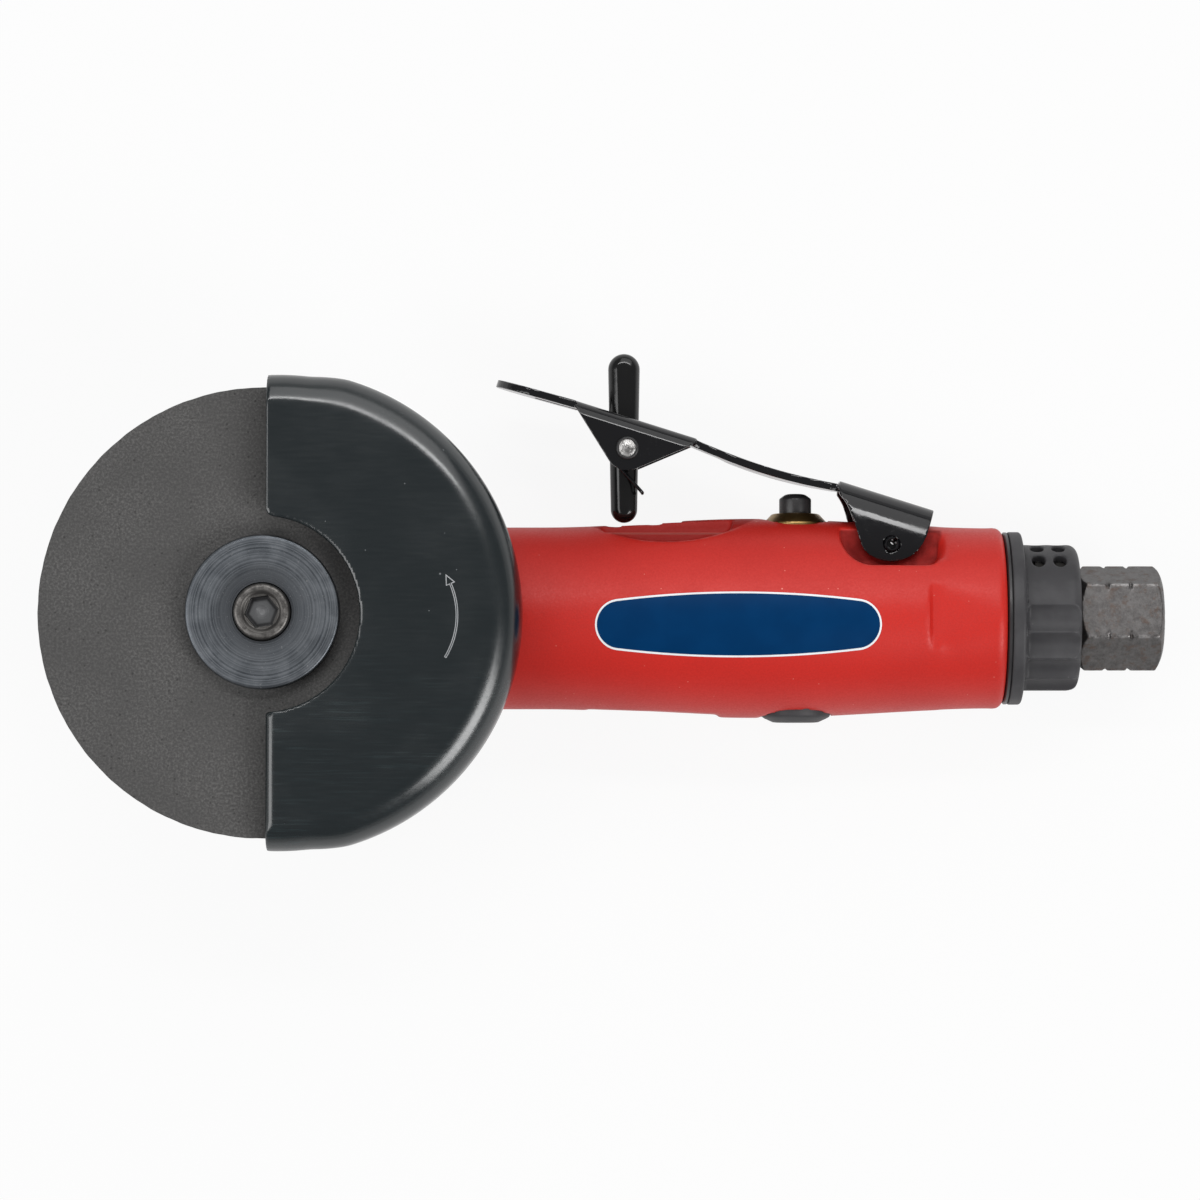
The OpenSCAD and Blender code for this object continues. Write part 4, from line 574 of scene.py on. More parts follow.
# label: a white lozenge plate with a navy field, laid on the body's round
label = {"middle": (80.35, -1.65), "halfLength": 24.45, "halfHeight": 5.6, "endHeight": 3.85, "endPower": 2.3,
         "line": 0.32, "lift": 0.05, "thick": 0.1, "fieldLift": 0.09, "fieldThick": 0.05}


def lozenge(name, inset, lift, thick):
    half = label["halfLength"] - inset
    bpy.ops.object.select_all(action="DESELECT")
    bpy.ops.mesh.primitive_grid_add(x_subdivisions=120, y_subdivisions=36, size=2)
    plate = named(name)
    endR, peak = label["endHeight"] - inset, label["halfHeight"] - inset
    for vertex in plate.data.vertices:
        along = math.sin(vertex.co.x * math.pi / 2) * half
        rise = peak + (endR - peak) * (along / half) ** 2
        past = max(0.0, abs(along) - (half - endR)) / endR
        reach = rise * math.sqrt(max(0.0, 1 - past ** label["endPower"]))
        x, y = label["middle"][0] + along, label["middle"][1] + vertex.co.y * reach
        vertex.co = Vector((x, y, axisH + math.sqrt(girth(x) ** 2 - y ** 2) + lift)) * mm
    applied(plate, "SOLIDIFY", thickness=thick * mm, offset=-1)
    bpy.ops.object.mode_set(mode="EDIT")
    sealMesh()
    bpy.ops.object.shade_smooth_by_angle(angle=math.radians(40))
    return plate


dress(lozenge("labelPlate", 0.0, label["lift"], label["thick"]), "housing", "label_white")
dress(lozenge("labelField", label["line"], label["fieldLift"], label["fieldThick"]), "housing", "label_navy")

# guard: a pressed cup over half the disc, cut open on the work side, with a window for the flange
guard = {"shift": 2.6, "radius": 41.0, "wall": 2.0, "back": 34.3, "face": 48.45, "edge": 5.6, "backEdge": 1.6,
         "innerEdge": 0.8, "openX": 0.7, "beyond": 60, "window": 16.5, "windowY": -0.4, "windowLow": 41.6,
         "windowCorner": 1.4, "roll": 1.3, "collar": 10.06, "ring": 12.8, "flatTop": 40.2, "flatZone": (25, 14, 14, 6),
         "mesh": (0.4, 3)}


def makeGuard():
    r, t, back, face, edge = pick(guard, "radius wall back face edge")
    fold, crease, openX, beyond = pick(guard, "backEdge innerEdge openX beyond")
    window, windowY, windowLow, corner = pick(guard, "window windowY windowLow windowCorner")
    inside = [(0, back + t), (r - t - crease, back + t)]
    inside += arc(r - t - crease, back + t + crease, crease, -90, 0, 4)[1:]
    inside += arc(r - edge, face - edge, edge - t, 0, 90, 8) + [(0, face - t)]
    outside = [(0, back)] + arc(r - fold, back + fold, fold, -90, 0, 6)
    outside += arc(r - edge, face - edge, edge, 0, 90, 14) + [(0, face)]
    middle = (guard["shift"], 0, 0)
    cup = turned("guardShell", "Z", middle, outside, 256)
    carve(cup, turned("tool", "Z", middle, inside, 256))
    carve(cup, block("tool", "Z", rectangle(-beyond, -beyond, openX, beyond), back - 5, face + 5))
    carve(cup, rod("Z", (0, 0, 0), guard["ring"], back, back + t, 128), "UNION")
    carve(cup, rod("Z", (0, 0, 0), guard["collar"], back - 1, back + t + 1, 128))
    carve(cup, rod("Z", (0, windowY, 0), window, windowLow, face + 1, 192))
    rise = math.sqrt((window + corner) ** 2 - (openX + corner) ** 2)  # rounded upper corner of the window
    x, y = openX + corner, windowY + rise
    foot, low = math.degrees(math.atan2(-rise, -x)), y - corner - 0.8
    wedge = [(-1, y), (-1, low), (x - 0.3, low)] + arc(x, y, corner, foot, -180, 10)
    carve(cup, block("tool", "Z", wedge, windowLow, face + 1))
    roll = guard["roll"]  # rolled lower part of the open edge
    lip = [(openX - 1, face + 1), (openX - 1, face - roll)] + arc(openX + roll, face - roll, roll, 180, 90, 8)
    carve(cup, block("tool", "Y", lip + [(openX + roll, face + 1)], -beyond, -window + 0.4))
    fromY, overY, toX, overX = guard["flatZone"]
    for vertex in cup.data.vertices:  # the rim is a little flattened above and below
        x, y = vertex.co.x / mm, vertex.co.y / mm
        if abs(y) > fromY and x < toX:
            share = min(1.0, (abs(y) - fromY) / overY) * min(1.0, (toX - x) / overX)
            vertex.co.y -= math.copysign(share * (r - guard["flatTop"]), y) * mm * (abs(y) / r) ** 4
    soften(cup, *guard["mesh"])
    return cup


dress(makeGuard(), "guard_cover", "guard_black", "guard")

# direction arrow on the guard, a thin hollow outline
arrow = {"middle": (19.3, -0.7), "radius": 13.5, "from": -31.4, "neck": 23.0, "tip": 31.0, "half": 0.22,
         "headHalf": 0.85, "line": 0.15, "lift": 0.03, "sunk": 0.02}


def makeArrow():
    x, y, r, half, head = *arrow["middle"], arrow["radius"], arrow["half"], arrow["headHalf"]
    start, neck, sunk = arrow["from"], arrow["neck"], arrow["sunk"]
    outline = arc(x, y, r + half, start, neck, 40)
    outline += [onCircle(x, y, *spot) for spot in ((r + head, neck), (r, arrow["tip"]), (r - head, neck))]
    outline += arc(x, y, r - half, neck, start, 40)
    penLine([(a, b, guard["face"] - sunk) for a, b in outline])
    bpy.ops.mesh.edge_face_add()
    bpy.ops.mesh.inset(thickness=arrow["line"] * mm)
    bpy.ops.mesh.delete(type="ONLY_FACE")
    bpy.ops.mesh.select_all(action="SELECT")
    bpy.ops.mesh.extrude_region_move(TRANSFORM_OT_translate={"value": (0, 0, (arrow["lift"] + sunk) * mm)})
    sealMesh()
    return named("guardArrow")


dress(makeArrow(), "guard_cover", "mark_grey")

# disc, outer flange and screw, turned about the spindle
stack = {"discR": 38.1, "discBore": 4.75, "discZ": 41.65, "faceZ": 43.25, "dent": 0.05, "flangeR": 13.0,
         "flangeTop": 46.75, "seat": 44.75, "dish": (8.6, 3.2, 0.16), "screwHole": 3.35, "headHole": 4.86,
         "shankR": 3.0, "headR": 4.8, "headTop": 48.15, "socket": 5.0, "socketDeep": 2.04, "socketTurn": 9.0,
         "screwMesh": (0.1, 1)}


def makeDisc():
    r, bore, z0, z1, dent = pick(stack, "discR discBore discZ faceZ dent")
    profile = [(bore, z0), (bore, z1)] + [(bore + 0.2 + (r - bore - 0.6) * i / 40, z1) for i in range(41)]
    profile += [(r - 0.12, z1 - 0.03), (r, z1 - 0.25), (r, z0 + 0.25), (r - 0.12, z0 + 0.03)]
    disc = turned("abrasiveDisc", "Z", (0, 0, 0), profile + [(r - 0.4, z0), (bore, z0)], 256)
    for vertex in disc.data.vertices:  # slightly uneven rim
        x, y = vertex.co.x / mm, vertex.co.y / mm
        if math.hypot(x, y) > r - 0.5:
            a = math.atan2(y, x)
            wave = dent * (math.sin(31 * a) + math.sin(47 * a + 1) + math.sin(83 * a + 2)) / 3
            vertex.co.x *= 1 - (dent + wave) / r
            vertex.co.y *= 1 - (dent + wave) / r
    return disc


def makeFlange():
    r, top, seat, z0 = pick(stack, "flangeR flangeTop seat faceZ")
    hole, well, (dishR, dishRun, dishDeep) = stack["screwHole"], stack["headHole"], stack["dish"]
    profile = [(hole, z0), (r - 0.3, z0)] + arc(r - 0.3, z0 + 0.3, 0.3, -90, 0, 4)
    profile += arc(r - 0.55, top - 0.55, 0.55, 0, 90, 6) + [(r - 1.2, top)]
    profile += [(dishR - dishRun * i / 10, top - dishDeep * ease(i / 10)) for i in range(11)]
    profile += [(well + 0.15, top - 0.18), (well, top - 0.5), (well, seat), (hole, seat), (hole, z0)]
    return turned("flangeWasher", "Z", (0, 0, 0), profile, 224)


def makeScrew():
    r, top, seat, shank = pick(stack, "headR headTop seat shankR")
    low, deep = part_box("disc_screw")[0].z / mm, top - stack["socketDeep"]
    profile = [(0, low), (shank - 0.5, low), (shank, low + 0.5), (shank, seat), (r - 0.15, seat), (r, seat + 0.15)]
    profile += arc(r - 0.7, top - 0.7, 0.7, 0, 90, 6)
    profile += [(3.55, top), (3.3, top - 0.12), (2.95, top - 0.42), (0, top - 0.42)]
    screw = turned("flangeScrew", "Z", (0, 0, 0), profile, 160)
    carve(screw, block("tool", "Z", hexagon(0, 0, stack["socket"], stack["socketTurn"]), deep, top + 1))
    dimple = [(0, deep - 0.5), (0.5, deep - 0.45), (1.2, deep + 0.1), (0, deep + 0.1)]
    carve(screw, turned("tool", "Z", (0, 0, 0), dimple, 48))
    soften(screw, *stack["screwMesh"])
    return screw


finishes["screw"] = socketScrew(stack["headTop"], stack["socketTurn"])
dress(makeDisc(), "spindle_set", "bonded_abrasive", "cutting_disc", angle=30)
dress(makeFlange(), "spindle_set", "oxide_steel", "outer_flange", angle=35)
dress(makeScrew(), "spindle_set", "oxide_steel", "disc_screw", finish="screw")

# throttle lever: pressed sheet with two pairs of ears, drawn along itself and then put on its slope
lever = {"pivot": (107.0, 12.5), "slope": 17.5, "reach": 73.5, "half": 8.5, "sheet": 1.3, "bend": 2.4, "frontV": 7.3,
         "rearV": 7.8, "dip": 1.2, "tipDrop": 0.5, "tipR": 7.14, "neckHalf": 6.1, "earFront": -59.2, "earRear": -39.0,
         "pin": (-48.4, 2.1), "earR": 3.85, "earArc": (232, 306), "rearTop": -9.5, "end": 5.4, "rearBend": 4.6,
         "cheek": (14.0, 18.0), "slot": (-66.5, 4.7, -46.2, 12), "slotHalf": 2.6, "pivotHole": 1.46, "pinHole": 1.33,
         "rearEar": [(-11.2, 5.6), (-10.4, 5.1), (-9.6, 4.5), (-8.5, 3.3), (-6.6, 0.7), (-4.95, -1.65), (-4.2, -2.4),
                     (-3.2, -2.95), (-1.8, -3.2), (-0.3, -3.15), (1.2, -2.8), (2.6, -2.05), (3.8, -1.0), (4.6, 0.25),
                     (5.1, 1.6), (5.35, 3.2)], "mesh": (0.24, 2), "lean": 0.9}


def tangentPoint(cx, cy, r, x, y, side):
    away = math.atan2(y - cy, x - cx) + side * math.acos(r / math.hypot(x - cx, y - cy))
    return (cx + r * math.cos(away), cy + r * math.sin(away))


def earSection(v, half, bend, wall, cheek, reach):  # from the ear's foot over the bend to the sheet's flat part
    turn, wide = math.radians(cheek), reach - wall
    foot = v - bend - (reach - bend) * math.sin(turn)
    side = [(v - 14, half - wall)] + arc(foot, half - reach, wide, 90, 90 - cheek, 8)
    shoulder = (foot + (reach - bend) * math.sin(turn), half - reach + (reach - bend) * math.cos(turn))
    return side + arc(*shoulder, bend - wall, 90 - cheek, 0, 12)


def makeLever():
    half, t, pin, earR, dip = pick(lever, "half sheet pin earR dip")
    frontU, rearU, frontV, rearV, end = pick(lever, "earFront earRear frontV rearV end")
    tip, slim, rearTop, wide = lever["tipR"], lever["neckHalf"], lever["rearTop"], half + 2
    top = [(-lever["reach"], frontV - lever["tipDrop"]), (frontU, frontV)]
    for s in [i / 24 for i in range(25)]:  # the neck dips between the two pairs of ears
        top.append((rearU - 1 + (-6 - rearU) * s, frontV + (rearV - frontV) * s - dip * math.sin(math.pi * s)))
    top.append((end, rearV))
    sheet = block("leverSheet", "Z", top + [(u, v - t) for u, v in reversed(top)], -wide, wide)
    upper = arc(-lever["reach"] + tip, half - tip, tip, 180, 90, 16) + [(frontU - 1, half), (rearU - 2, half)]
    upper += [(rearU - 2 + 5 * s / 8, half - (half - slim) * ease(s / 8)) for s in range(1, 9)]
    upper += [(rearTop - 4 + 5 * s / 8, slim + (half - slim) * ease(s / 8)) for s in range(9)] + [(end, half)]
    plan = upper + [(u, -w) for u, w in reversed(upper)]
    carve(sheet, block("tool", "Y", plan, -20, 30), "INTERSECT")
    frontEnd, rearStart = rearU + 1.5, rearTop - 2.4
    frontLow, rearLow = (frontU, frontV - 1), (frontEnd, frontV - 1)
    frontEar = [(frontU, frontV + 1), frontLow, tangentPoint(*pin, earR, *frontLow, 1)]
    frontEar += arc(*pin, earR, *lever["earArc"], 16)
    frontEar += [tangentPoint(*pin, earR, *rearLow, -1), rearLow, (frontEnd, frontV + 1)]
    rearEar = [(rearStart, rearV + 1)] + lever["rearEar"] + [(end, rearV + 1)]
    ears = ((frontU, frontEnd, frontV, lever["bend"], (0.0, lever["bend"]), frontEar),
            (rearStart, end, rearV, lever["rearBend"], lever["cheek"], rearEar))
    for start, stop, v, bend, cheek, outline in ears:
        outer, inner = earSection(v, half, bend, 0, *cheek), earSection(v, half, bend, t, *cheek)
        shell = outer + [(a, -b) for a, b in reversed(outer)] + [(a, -b) for a, b in inner] + list(reversed(inner))
        channel = block("channel", "X", shell, start, stop)
        carve(channel, block("tool", "Z", outline, -wide, wide), "INTERSECT")
        if v == rearV:
            carve(channel, block("tool", "Y", plan, -20, 30), "INTERSECT")
        past = stop + 0.02
        rim = [(start, v + 2), (start, v - 4), (past, v - 4), (past, v + 2)]  # the sheet gives way to the bends
        for side in (-1, 1):
            near, far = sorted((side * outer[-1][1], side * (half + 3)))
            carve(sheet, block("tool", "Z", rim, near, far))
        carve(sheet, channel, "UNION")
    carve(sheet, block("tool", "Z", rectangle(*lever["slot"]), -lever["slotHalf"], lever["slotHalf"]))
    carve(sheet, block("tool", "Z", disk(0, 0, lever["pivotHole"], 40), -wide, wide))
    carve(sheet, block("tool", "Z", disk(*pin, lever["pinHole"], 40), 0, wide))
    soften(sheet, *lever["mesh"])
    for vertex in sheet.data.vertices:  # the sheet leans a little on its rear ears
        rise = min(1.0, max(0.0, (vertex.co.y / mm - 3) / 3, (-25 - vertex.co.x / mm) / 8))
        vertex.co.y += lever["lean"] * rise * (half - vertex.co.z / mm) / (2 * half) * mm
    only(sheet)
    sheet.rotation_euler.z = math.radians(-lever["slope"])
    sheet.location = Vector((*lever["pivot"], axisH)) * mm
    bpy.ops.object.transform_apply(location=True, rotation=True, scale=True)
    return sheet


def onLever(u, v):
    (x, y), a = lever["pivot"], math.radians(-lever["slope"])
    return (x + u * math.cos(a) - v * math.sin(a), y + u * math.sin(a) + v * math.cos(a))


dress(makeLever(), "lever", "gloss_black_steel", "throttle_lever", angle=40)

# roll pin of the lever, a slit tube
pivotPin = {"r": 1.4, "bore": 0.77, "half": 8.9, "deep": 4.0, "slit": 0.28, "slitTurn": 50}


def makePivotPin():
    r, bore, half, slit = pick(pivotPin, "r bore half slit")
    floor, a = half - pivotPin["deep"], math.radians(pivotPin["slitTurn"])
    end = [(0, floor), (bore, floor), (bore, half - 0.12), (bore + 0.12, half), (r - 0.3, half), (r, half - 0.45)]
    profile = end + [(out, -up) for out, up in reversed(end)]
    pin = turned("leverRollPin", "Z", (*lever["pivot"], axisH), profile, 64)
    along, across = Vector((math.cos(a), math.sin(a))), Vector((-math.sin(a), math.cos(a)))
    corners = [Vector(lever["pivot"]) + along * p + across * q for p, q in rectangle(0.3, -slit, 3, slit)]
    carve(pin, block("tool", "Z", [tuple(c) for c in corners], axisH - half - 1, axisH + half + 1))
    return pin


dress(makePivotPin(), "housing", "gloss_black_steel", "lever_pin", angle=40)

# lock-off tab, its rivet and its spring
lock = {"up": 17.0, "topR": 2.75, "lowR": 2.3, "low": 12.43, "thick": 4.5, "round": 1.9, "aside": -0.55, "bossR": 2.3,
        "bossHalf": 6.85, "bore": 1.36, "boreHalf": 12, "pinR": 1.3, "headR": 1.97, "pinHalf": 8.53, "headH": 0.4,
        "wire": 0.3, "coilR": 2.96, "pitch": 1.05, "coilSteps": 130, "leg": -48.0}
lockX, lockY = onLever(*lever["pin"])


def makeTab():
    up, low, half = lock["up"] - lock["topR"], -lock["low"] + lock["lowR"], lock["thick"] / 2
    x, hub, boss, through = lockX + lock["aside"], (lockX, lockY, axisH), lock["bossHalf"], lock["boreHalf"]
    outline = arc(x, lockY + up, lock["topR"], 0, 180, 28) + arc(x, lockY + low, lock["lowR"], 180, 360, 28)
    tab = block("lockOffTab", "Z", outline, axisH - half, axisH + half)
    applied(tab, "BEVEL", width=lock["round"] * mm, segments=8, limit_method="ANGLE", angle_limit=math.radians(50))
    carve(tab, rod("Z", hub, lock["bossR"], -boss, boss, 64), "UNION")
    carve(tab, rod("Z", hub, lock["bore"], -through, through, 48))
    return tab


def makeRivet():
    half, r, head = lock["pinHalf"], lock["pinR"], lock["headR"]
    top = half + lock["headH"]
    end = [(0, top), (1.0, top - 0.04), (1.36, top - 0.2), (1.48, top - 0.22), (1.6, top - 0.05)]
    end += arc(head - 0.3, top - 0.3, 0.3, 90, 0, 4) + [(head, half), (r, half)]
    return turned("lockOffRivet", "Z", (lockX, lockY, axisH), end + [(a, -b) for a, b in reversed(end)], 72)


def wireRun(name, points, radius):
    curve = bpy.data.curves.new(name, "CURVE")
    curve.dimensions = "3D"
    spline = curve.splines.new("POLY")
    spline.points.add(len(points) - 1)
    for knot, point in zip(spline.points, points):
        knot.co = (*(Vector(point) * mm), 1)
    curve.bevel_depth = radius * mm
    curve.bevel_resolution = 4
    curve.use_fill_caps = True
    run = bpy.data.objects.new(name, curve)
    bpy.context.collection.objects.link(run)
    only(run)
    bpy.ops.object.convert(target="MESH")
    bpy.ops.object.mode_set(mode="EDIT")
    sealMesh()
    bpy.ops.object.shade_smooth_by_angle(angle=math.radians(50))
    return named(name)


def makeSpring():
    wire, pitch, steps = lock["wire"], lock["pitch"], lock["coilSteps"]
    z0 = axisH + lock["thick"] / 2 + 0.35 + wire
    legTurn = lock["leg"] - 90
    turns = 3 + (legTurn + lever["slope"] - 180 + 360) / 360
    coil = []
    for left in [1 - i / steps for i in range(steps + 1)]:
        spot = onCircle(lockX, lockY, lock["coilR"], legTurn - 360 * turns * left)
        coil.append((*spot, z0 + pitch * turns * left))
    slope = math.radians(lever["slope"])
    reach = lever["frontV"] - lever["sheet"] - lever["pin"][1] - 0.3
    anchor = Vector(coil[0]) + reach * Vector((math.sin(slope), math.cos(slope), 0))
    way = Vector((*onCircle(0, 0, 1, lock["leg"]), 0))
    flank = (lock["topR"] + lock["lowR"]) / 2 + lock["aside"] + 0.35 + wire
    hook = Vector(coil[-1]) + way * ((lockX + flank - coil[-1][0]) / way.x)
    leg = [coil[-1], hook - way * 0.8]
    leg += [hook - way * back + Vector((0, 0, -drop)) for back, drop in ((0.25, 0.08), (0, 0.3), (0, 2.0))]
    return wireRun("lockSpringCoil", [anchor] + coil, wire), wireRun("lockSpringLeg", leg, wire)


dress(makeTab(), "lock_off", "gloss_black_plastic", "lock_tab", angle=35)
finishes["rivet"] = peenedRivet(lockX, lockY)
dress(makeRivet(), "lever", "ground_steel", "lock_pin", angle=35, finish="rivet")
springCoil, springLeg = makeSpring()
dress(springCoil, "lever", "gloss_black_steel", "lock_spring")
dress(springLeg, "lock_off", "gloss_black_steel")

# valve stem, its brass bush and the regulator's dial
valve = {"x": 90.7, "stemR": 2.78, "stemTop": 21.6, "pushR": 1.35, "bushR": 5.65, "bushTopR": 4.07, "bushTop": 18.15,
         "bushEdge": 16.25, "bushLow": 6, "bushHole": 2.86, "dialR": 6.0, "dialLow": -18.1, "dialTop": -9,
         "slotHalf": 0.7, "dialGrooves": (((5.04, -12.4), (5.04, -11.2)), ((5.32, -10.3), (5.32, -9.55)))}
valveAxis = (valve["x"], 0, axisH)


def makeStem():
    low, top, r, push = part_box("valve_stem")[0].y / mm, valve["stemTop"], valve["stemR"], valve["pushR"]
    profile = [(0, low), (push, low), (push, 10.1), (2.7, 10.5), (2.7, 17.6), (r, 17.9), (r, top - 1.05)]
    profile += arc(r - 0.45, top - 1.05, 0.45, 0, 50, 4)[1:]
    profile += [(r - 0.75, top - 0.28), (r - 1.05, top - 0.1), (r - 1.5, top), (0, top)]
    return turned("throttleStem", "Y", valveAxis, profile, 96)


def makeBush():
    r, topR, top, edge, low, hole = pick(valve, "bushR bushTopR bushTop bushEdge bushLow bushHole")
    profile = [(hole - 0.1, low), (r, low), (r, edge)] + arc(r - 0.35, edge + 0.1, 0.35, 0, 60, 4)[1:]
    profile += [(topR + 0.1, top - 0.12), (topR - 0.25, top), (3.05, top), (hole, top - 0.25), (hole, 12), (hole, low)]
    return turned("brassBush", "Y", valveAxis, profile + [(hole - 0.1, low)], 128)


def makeDial():
    low, top, r, x, half = pick(valve, "dialLow dialTop dialR x slotHalf")
    ringGroove, clipGroove = valve["dialGrooves"]
    profile = [(0, low + 0.1), (r - 2.6, low), (r - 2.0, low + 0.06), (r - 0.5, low + 0.75), (r - 0.15, low + 0.98)]
    profile += [(r, low + 1.3), (r, -12.4), *ringGroove, (r, -11.2), (r, -10.62), *clipGroove, (r, -9.25)]
    dial = turned("regulatorKnob", "Y", valveAxis, profile + [(r, top), (0, top)], 128)
    slot = rectangle(low - 1, axisH - half, low + 1.2, axisH + half)
    carve(dial, block("tool", "X", slot, x - 8, x + 8))
    return dial


dress(makeStem(), "valve", "stem_black", "valve_stem", angle=35)
dress(makeBush(), "housing", "turned_brass", "valve_bush", angle=30)
dress(makeDial(), "regulator", "grey_plastic", "regulator_dial", angle=35)

# exhaust deflector with vents and flutes, and its seal
cap = {"x": 126.6, "flangeR": 15.0, "flangeX": 129.7, "barrelR": 12.75, "end": 139.5, "edge": 1.7, "mouth": 13.4,
       "mouthDeep": 1.5, "inner": 11.25, "endWall": 1.6, "bore": 6.56, "seal": 0.85, "sealR": 13.85, "flutes": 9,
       "fluteStep": 22, "fluteR": 3.6, "fluteDeep": 1.05, "fluteFrom": 129.95, "vents": (132.3, 136.0), "ventCount": 5,
       "ventStep": 20, "ventR": 1.12, "ventFlare": 0.35, "ventReach": 1.45, "mesh": (0.2, 1)}


def makeDeflector():
    x, flangeX, end, r, edge, flangeR = pick(cap, "x flangeX end barrelR edge flangeR")
    inner, sealR, lip, middle = cap["inner"], cap["sealR"], x + cap["seal"], (0, 0, axisH)
    profile = [(0, x), (sealR, x), (sealR, lip), (flangeR - 0.15, lip), (flangeR, lip + 0.15), (flangeR, flangeX - 0.3)]
    profile += [(flangeR - 0.3, flangeX), (r - 0.3, flangeX), (r - 0.3, flangeX + 0.3), (r, flangeX + 0.4)]
    profile += arc(r - edge, end - edge, edge, 0, 90, 10) + [(0, end)]
    barrel = turned("exhaustCap", "X", middle, profile, 192)
    fluteR, fluteX = cap["fluteR"], cap["fluteFrom"]
    flute = [(0, fluteX), (fluteR - 0.5, fluteX), (fluteR, fluteX + 0.5), (fluteR, end + 1), (0, end + 1)]
    away = r - cap["fluteDeep"] + fluteR
    for i in range(cap["flutes"]):
        a = math.radians(270 + cap["fluteStep"] * (i - cap["flutes"] // 2))
        carve(barrel, turned("tool", "X", (0, away * math.sin(a), axisH + away * math.cos(a)), flute, 72))
    mouth, shelf, wall = cap["mouth"], x + cap["mouthDeep"], end - cap["endWall"]
    hollow = [(0, x - 1), (mouth, x - 1), (mouth, shelf), (inner, shelf), (inner, wall), (0, wall)]
    carve(barrel, turned("tool", "X", middle, hollow, 128))
    carve(barrel, rod("X", middle, cap["bore"], x, end + 1, 96))
    ventR, flareR = cap["ventR"], cap["ventR"] + cap["ventFlare"]
    vent = [(0, inner - 1), (ventR, inner - 1), (ventR, r - 0.3), (flareR, r + 0.1), (flareR, r + 1), (0, r + 1)]
    for ventX in cap["vents"]:
        for i in range(cap["ventCount"]):
            hole = turned("tool", "Y", (0, 0, 0), vent, 48)
            hole.rotation_euler.x = math.radians(cap["ventStep"] * (i - cap["ventCount"] // 2))
            hole.scale.z = cap["ventReach"]
            hole.location = Vector((ventX, 0, axisH)) * mm
            carve(barrel, hole)
    soften(barrel, *cap["mesh"])
    return barrel


def makeCapSeal():
    x, r, inner = cap["x"], cap["flangeR"], cap["sealR"] + 0.03
    end = x + cap["seal"] - 0.03
    profile = [(inner, x), (r - 0.3, x), (r - 0.05, x + 0.2), (r - 0.05, end - 0.2), (r - 0.3, end), (inner, end)]
    return turned("capSeal", "X", (0, 0, axisH), profile + [(inner, x)], 192)


# hexagon inlet with two turned grooves, a domed end and a threaded mouth
inlet = {"x": 139.8, "end": 154.4, "across": 16.0, "turn": -7.7, "grooves": (0.31, 0.58), "grooveW": 0.95,
         "grooveR": 8.6, "dome": ((9.3, 1.45), (8.4, 0.9), (7.4, 0.45), (6.4, 0.15), (5.6, 0.0)), "shankR": 6.5,
         "sealGroove": ((6.5, 122.8), (5.85, 122.9), (5.85, 124.1), (6.5, 124.2)), "boreR": 5.7, "boreDeep": 14.0,
         "threads": 9, "pitch": 1.34, "threadDeep": 0.35, "airway": 4.0, "mesh": (0.225, 1)}


def makeInlet():
    x, end, across, shankR, bore = pick(inlet, "x end across shankR boreR")
    nut = block("inletHex", "X", hexagon(0, axisH, across, inlet["turn"]), x, end)
    middle, outer, half = (0, 0, axisH), across / math.sqrt(3) + 0.05, inlet["grooveW"] / 2
    profile = [(0, x), (across / 2, x), (outer, x + 1)]
    for groove in [x + (end - x) * share for share in inlet["grooves"]]:
        profile += [(outer, groove - half), (inlet["grooveR"], groove), (outer, groove + half)]
    profile += [(r, end - back) for r, back in inlet["dome"]] + [(0, end)]
    carve(nut, turned("tool", "X", middle, profile, 160), "INTERSECT")
    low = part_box("inlet_bushing")[0].x / mm
    shank = [(0, low), (shankR, low), *inlet["sealGroove"], (shankR, x + 0.5), (0, x + 0.5)]
    carve(nut, turned("tool", "X", middle, shank, 96), "UNION")
    deep, crest = end - inlet["boreDeep"], bore - inlet["threadDeep"]
    mouth = [(0, end + 1), (bore + 0.9, end + 1), (bore + 0.9, end), (bore, end - 0.9)]
    for h in [end - 1.4 - i * inlet["pitch"] for i in range(inlet["threads"])]:  # shallow thread rings
        mouth += [(bore, h), (crest, h - 0.5), (crest, h - 0.75)]
    carve(nut, turned("tool", "X", middle, mouth + [(crest, deep), (0, deep)], 96))
    carve(nut, rod("X", middle, inlet["airway"], low - 1, deep + 1, 64))
    soften(nut, *inlet["mesh"])
    return nut


dress(makeDeflector(), "deflector", "grey_plastic", "exhaust_deflector", angle=35)
dress(makeCapSeal(), "deflector", "seal_rubber", angle=35, finish="stem_black")
dress(makeInlet(), "housing", "raw_steel", "inlet_bushing", angle=30)

# valve spring, which the valve's head presses together
valveSpring = {"turns": 6.5, "wire": 0.3, "coilR": 3.3, "stroke": 2.4, "steps": 156}


def makeValveSpring():
    low, high = (corner.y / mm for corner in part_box("valve_spring"))
    wire, r, steps = valveSpring["wire"], valveSpring["coilR"], valveSpring["steps"]
    coil = []
    for i in range(steps + 1):
        a = 2 * math.pi * valveSpring["turns"] * i / steps
        rise = low + wire + (high - low - 2 * wire) * i / steps
        coil.append((valve["x"] + r * math.cos(a), rise, axisH - r * math.sin(a)))
    spring = wireRun("valveSpring", coil, wire)
    dress(spring, "housing", "ground_steel", "valve_spring")
    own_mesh(spring)


makeValveSpring()

# angle head: the drum and neck with the eased edges of a casting
casting = {"mesh": (0.5, 7)}


def makeHead():
    head = bpy.data.objects.new("headCasting", frame["nodes"]["angle_head"].data.copy())
    bpy.context.collection.objects.link(head)
    only(head)
    named("headCasting")
    bpy.ops.object.mode_set(mode="EDIT")
    sealMesh()
    soften(head, *casting["mesh"])
    return head


dress(makeHead(), "housing", "cast_alloy", "angle_head")

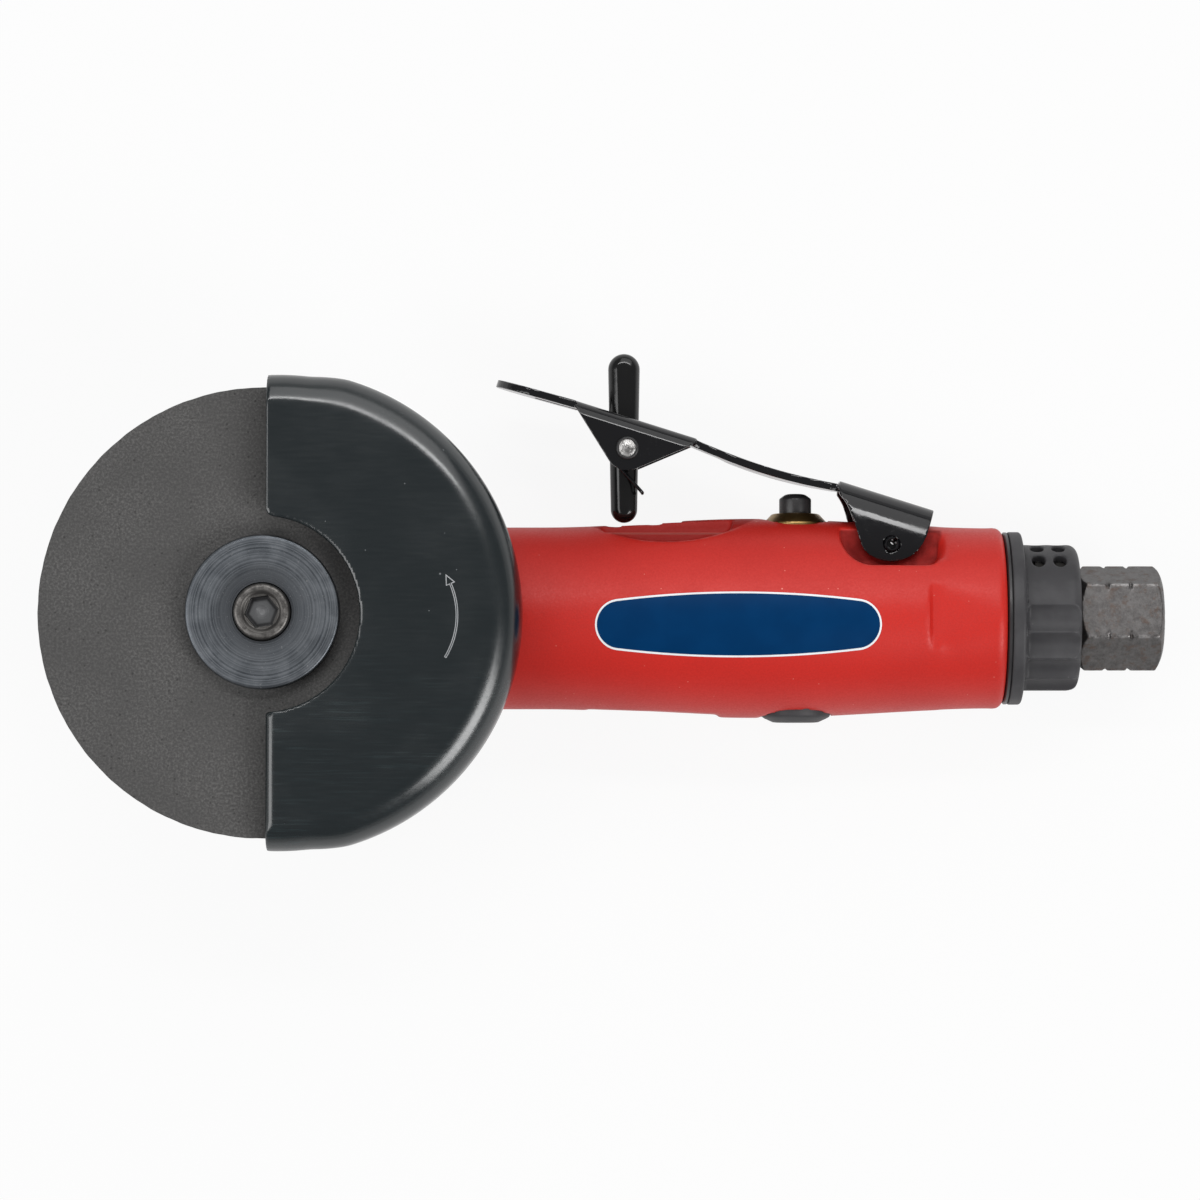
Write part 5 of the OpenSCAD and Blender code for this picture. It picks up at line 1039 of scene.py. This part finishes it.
# every other CAD node keeps its mesh and takes its slot's finish
shown = 0
for part in frame["record"]["subparts"]:
    node = frame["nodes"][part["node"]]
    if not node.hide_render:
        node.data.materials.clear()
        node.data.materials.append(finishes[part["material_slot"]])
        shown += 1
print("CAD nodes shown:", shown)

# pale floor that sweeps up all round, and soft light
sweep = {"middle": (50, 0, 0), "flat": 4500.0, "rise": ((5200, 80), (5700, 350), (6000, 1300)), "under": 0.2,
         "keep": 0.09, "mirrored": 0.5,
         "paint": {"Base Color": (0.7, 0.7, 0.7, 1), "Roughness": 0.9, "Specular IOR Level": 0.0}}
ground = cadBox[0].z / mm - sweep["under"]
floorLine = [(0, ground), (sweep["flat"], ground)] + [(r, ground + h) for r, h in sweep["rise"]]
floor = turned("paleFloor", "Z", sweep["middle"], floorLine, 96)
floorFinish, place = newFinish("paleFloor", sweep["paint"])
path = place.node("ShaderNodeLightPath", {}, {}, "Is Camera Ray")
seen = path + path.also("Is Glossy Ray") * sweep["mirrored"] + path.also("Is Transmission Ray")
glow = path.node("ShaderNodeEmission", {}, {"Color": (1, 1, 1, 1), "Strength": 1.0})
lit = Wire(path.tree, path.tree.nodes["Principled BSDF"].outputs[0])
mixed = path.node("ShaderNodeMixShader", {}, {0: seen * (1 - sweep["keep"]), 1: lit, 2: glow})
path.tree.links.new(mixed.socket, path.tree.nodes["Material Output"].inputs["Surface"])
floor.data.materials.append(floorFinish)

world = bpy.data.worlds.new("studio")
bpy.context.scene.world = world
world.use_nodes = True
world.node_tree.nodes["Background"].inputs["Color"].default_value = (0.22, 0.22, 0.225, 1)

lampAim = Vector((56, 0, 30))
lamps = {"upperCard": ((240, 720, 620), (0.9, 0.75), 2.6), "strip": ((80, 455, 900), (0.8, 0.09), 2.5),
         "lowerCard": ((660, -405, 660), (0.46, 0.5), 4.8), "leftCard": ((-606, -117, 702), (0.5, 0.8), 3.8)}
for name, (spot, size, power) in lamps.items():
    turn = (lampAim - Vector(spot)).to_track_quat("-Z", "Y").to_euler()
    bpy.ops.object.light_add(type="AREA", location=Vector(spot) * mm, rotation=turn)
    lamp = bpy.context.active_object
    lamp.name = name
    lamp.data.shape = "RECTANGLE"
    lamp.data.size, lamp.data.size_y = size
    lamp.data.energy = power
print("floor and lamps set")
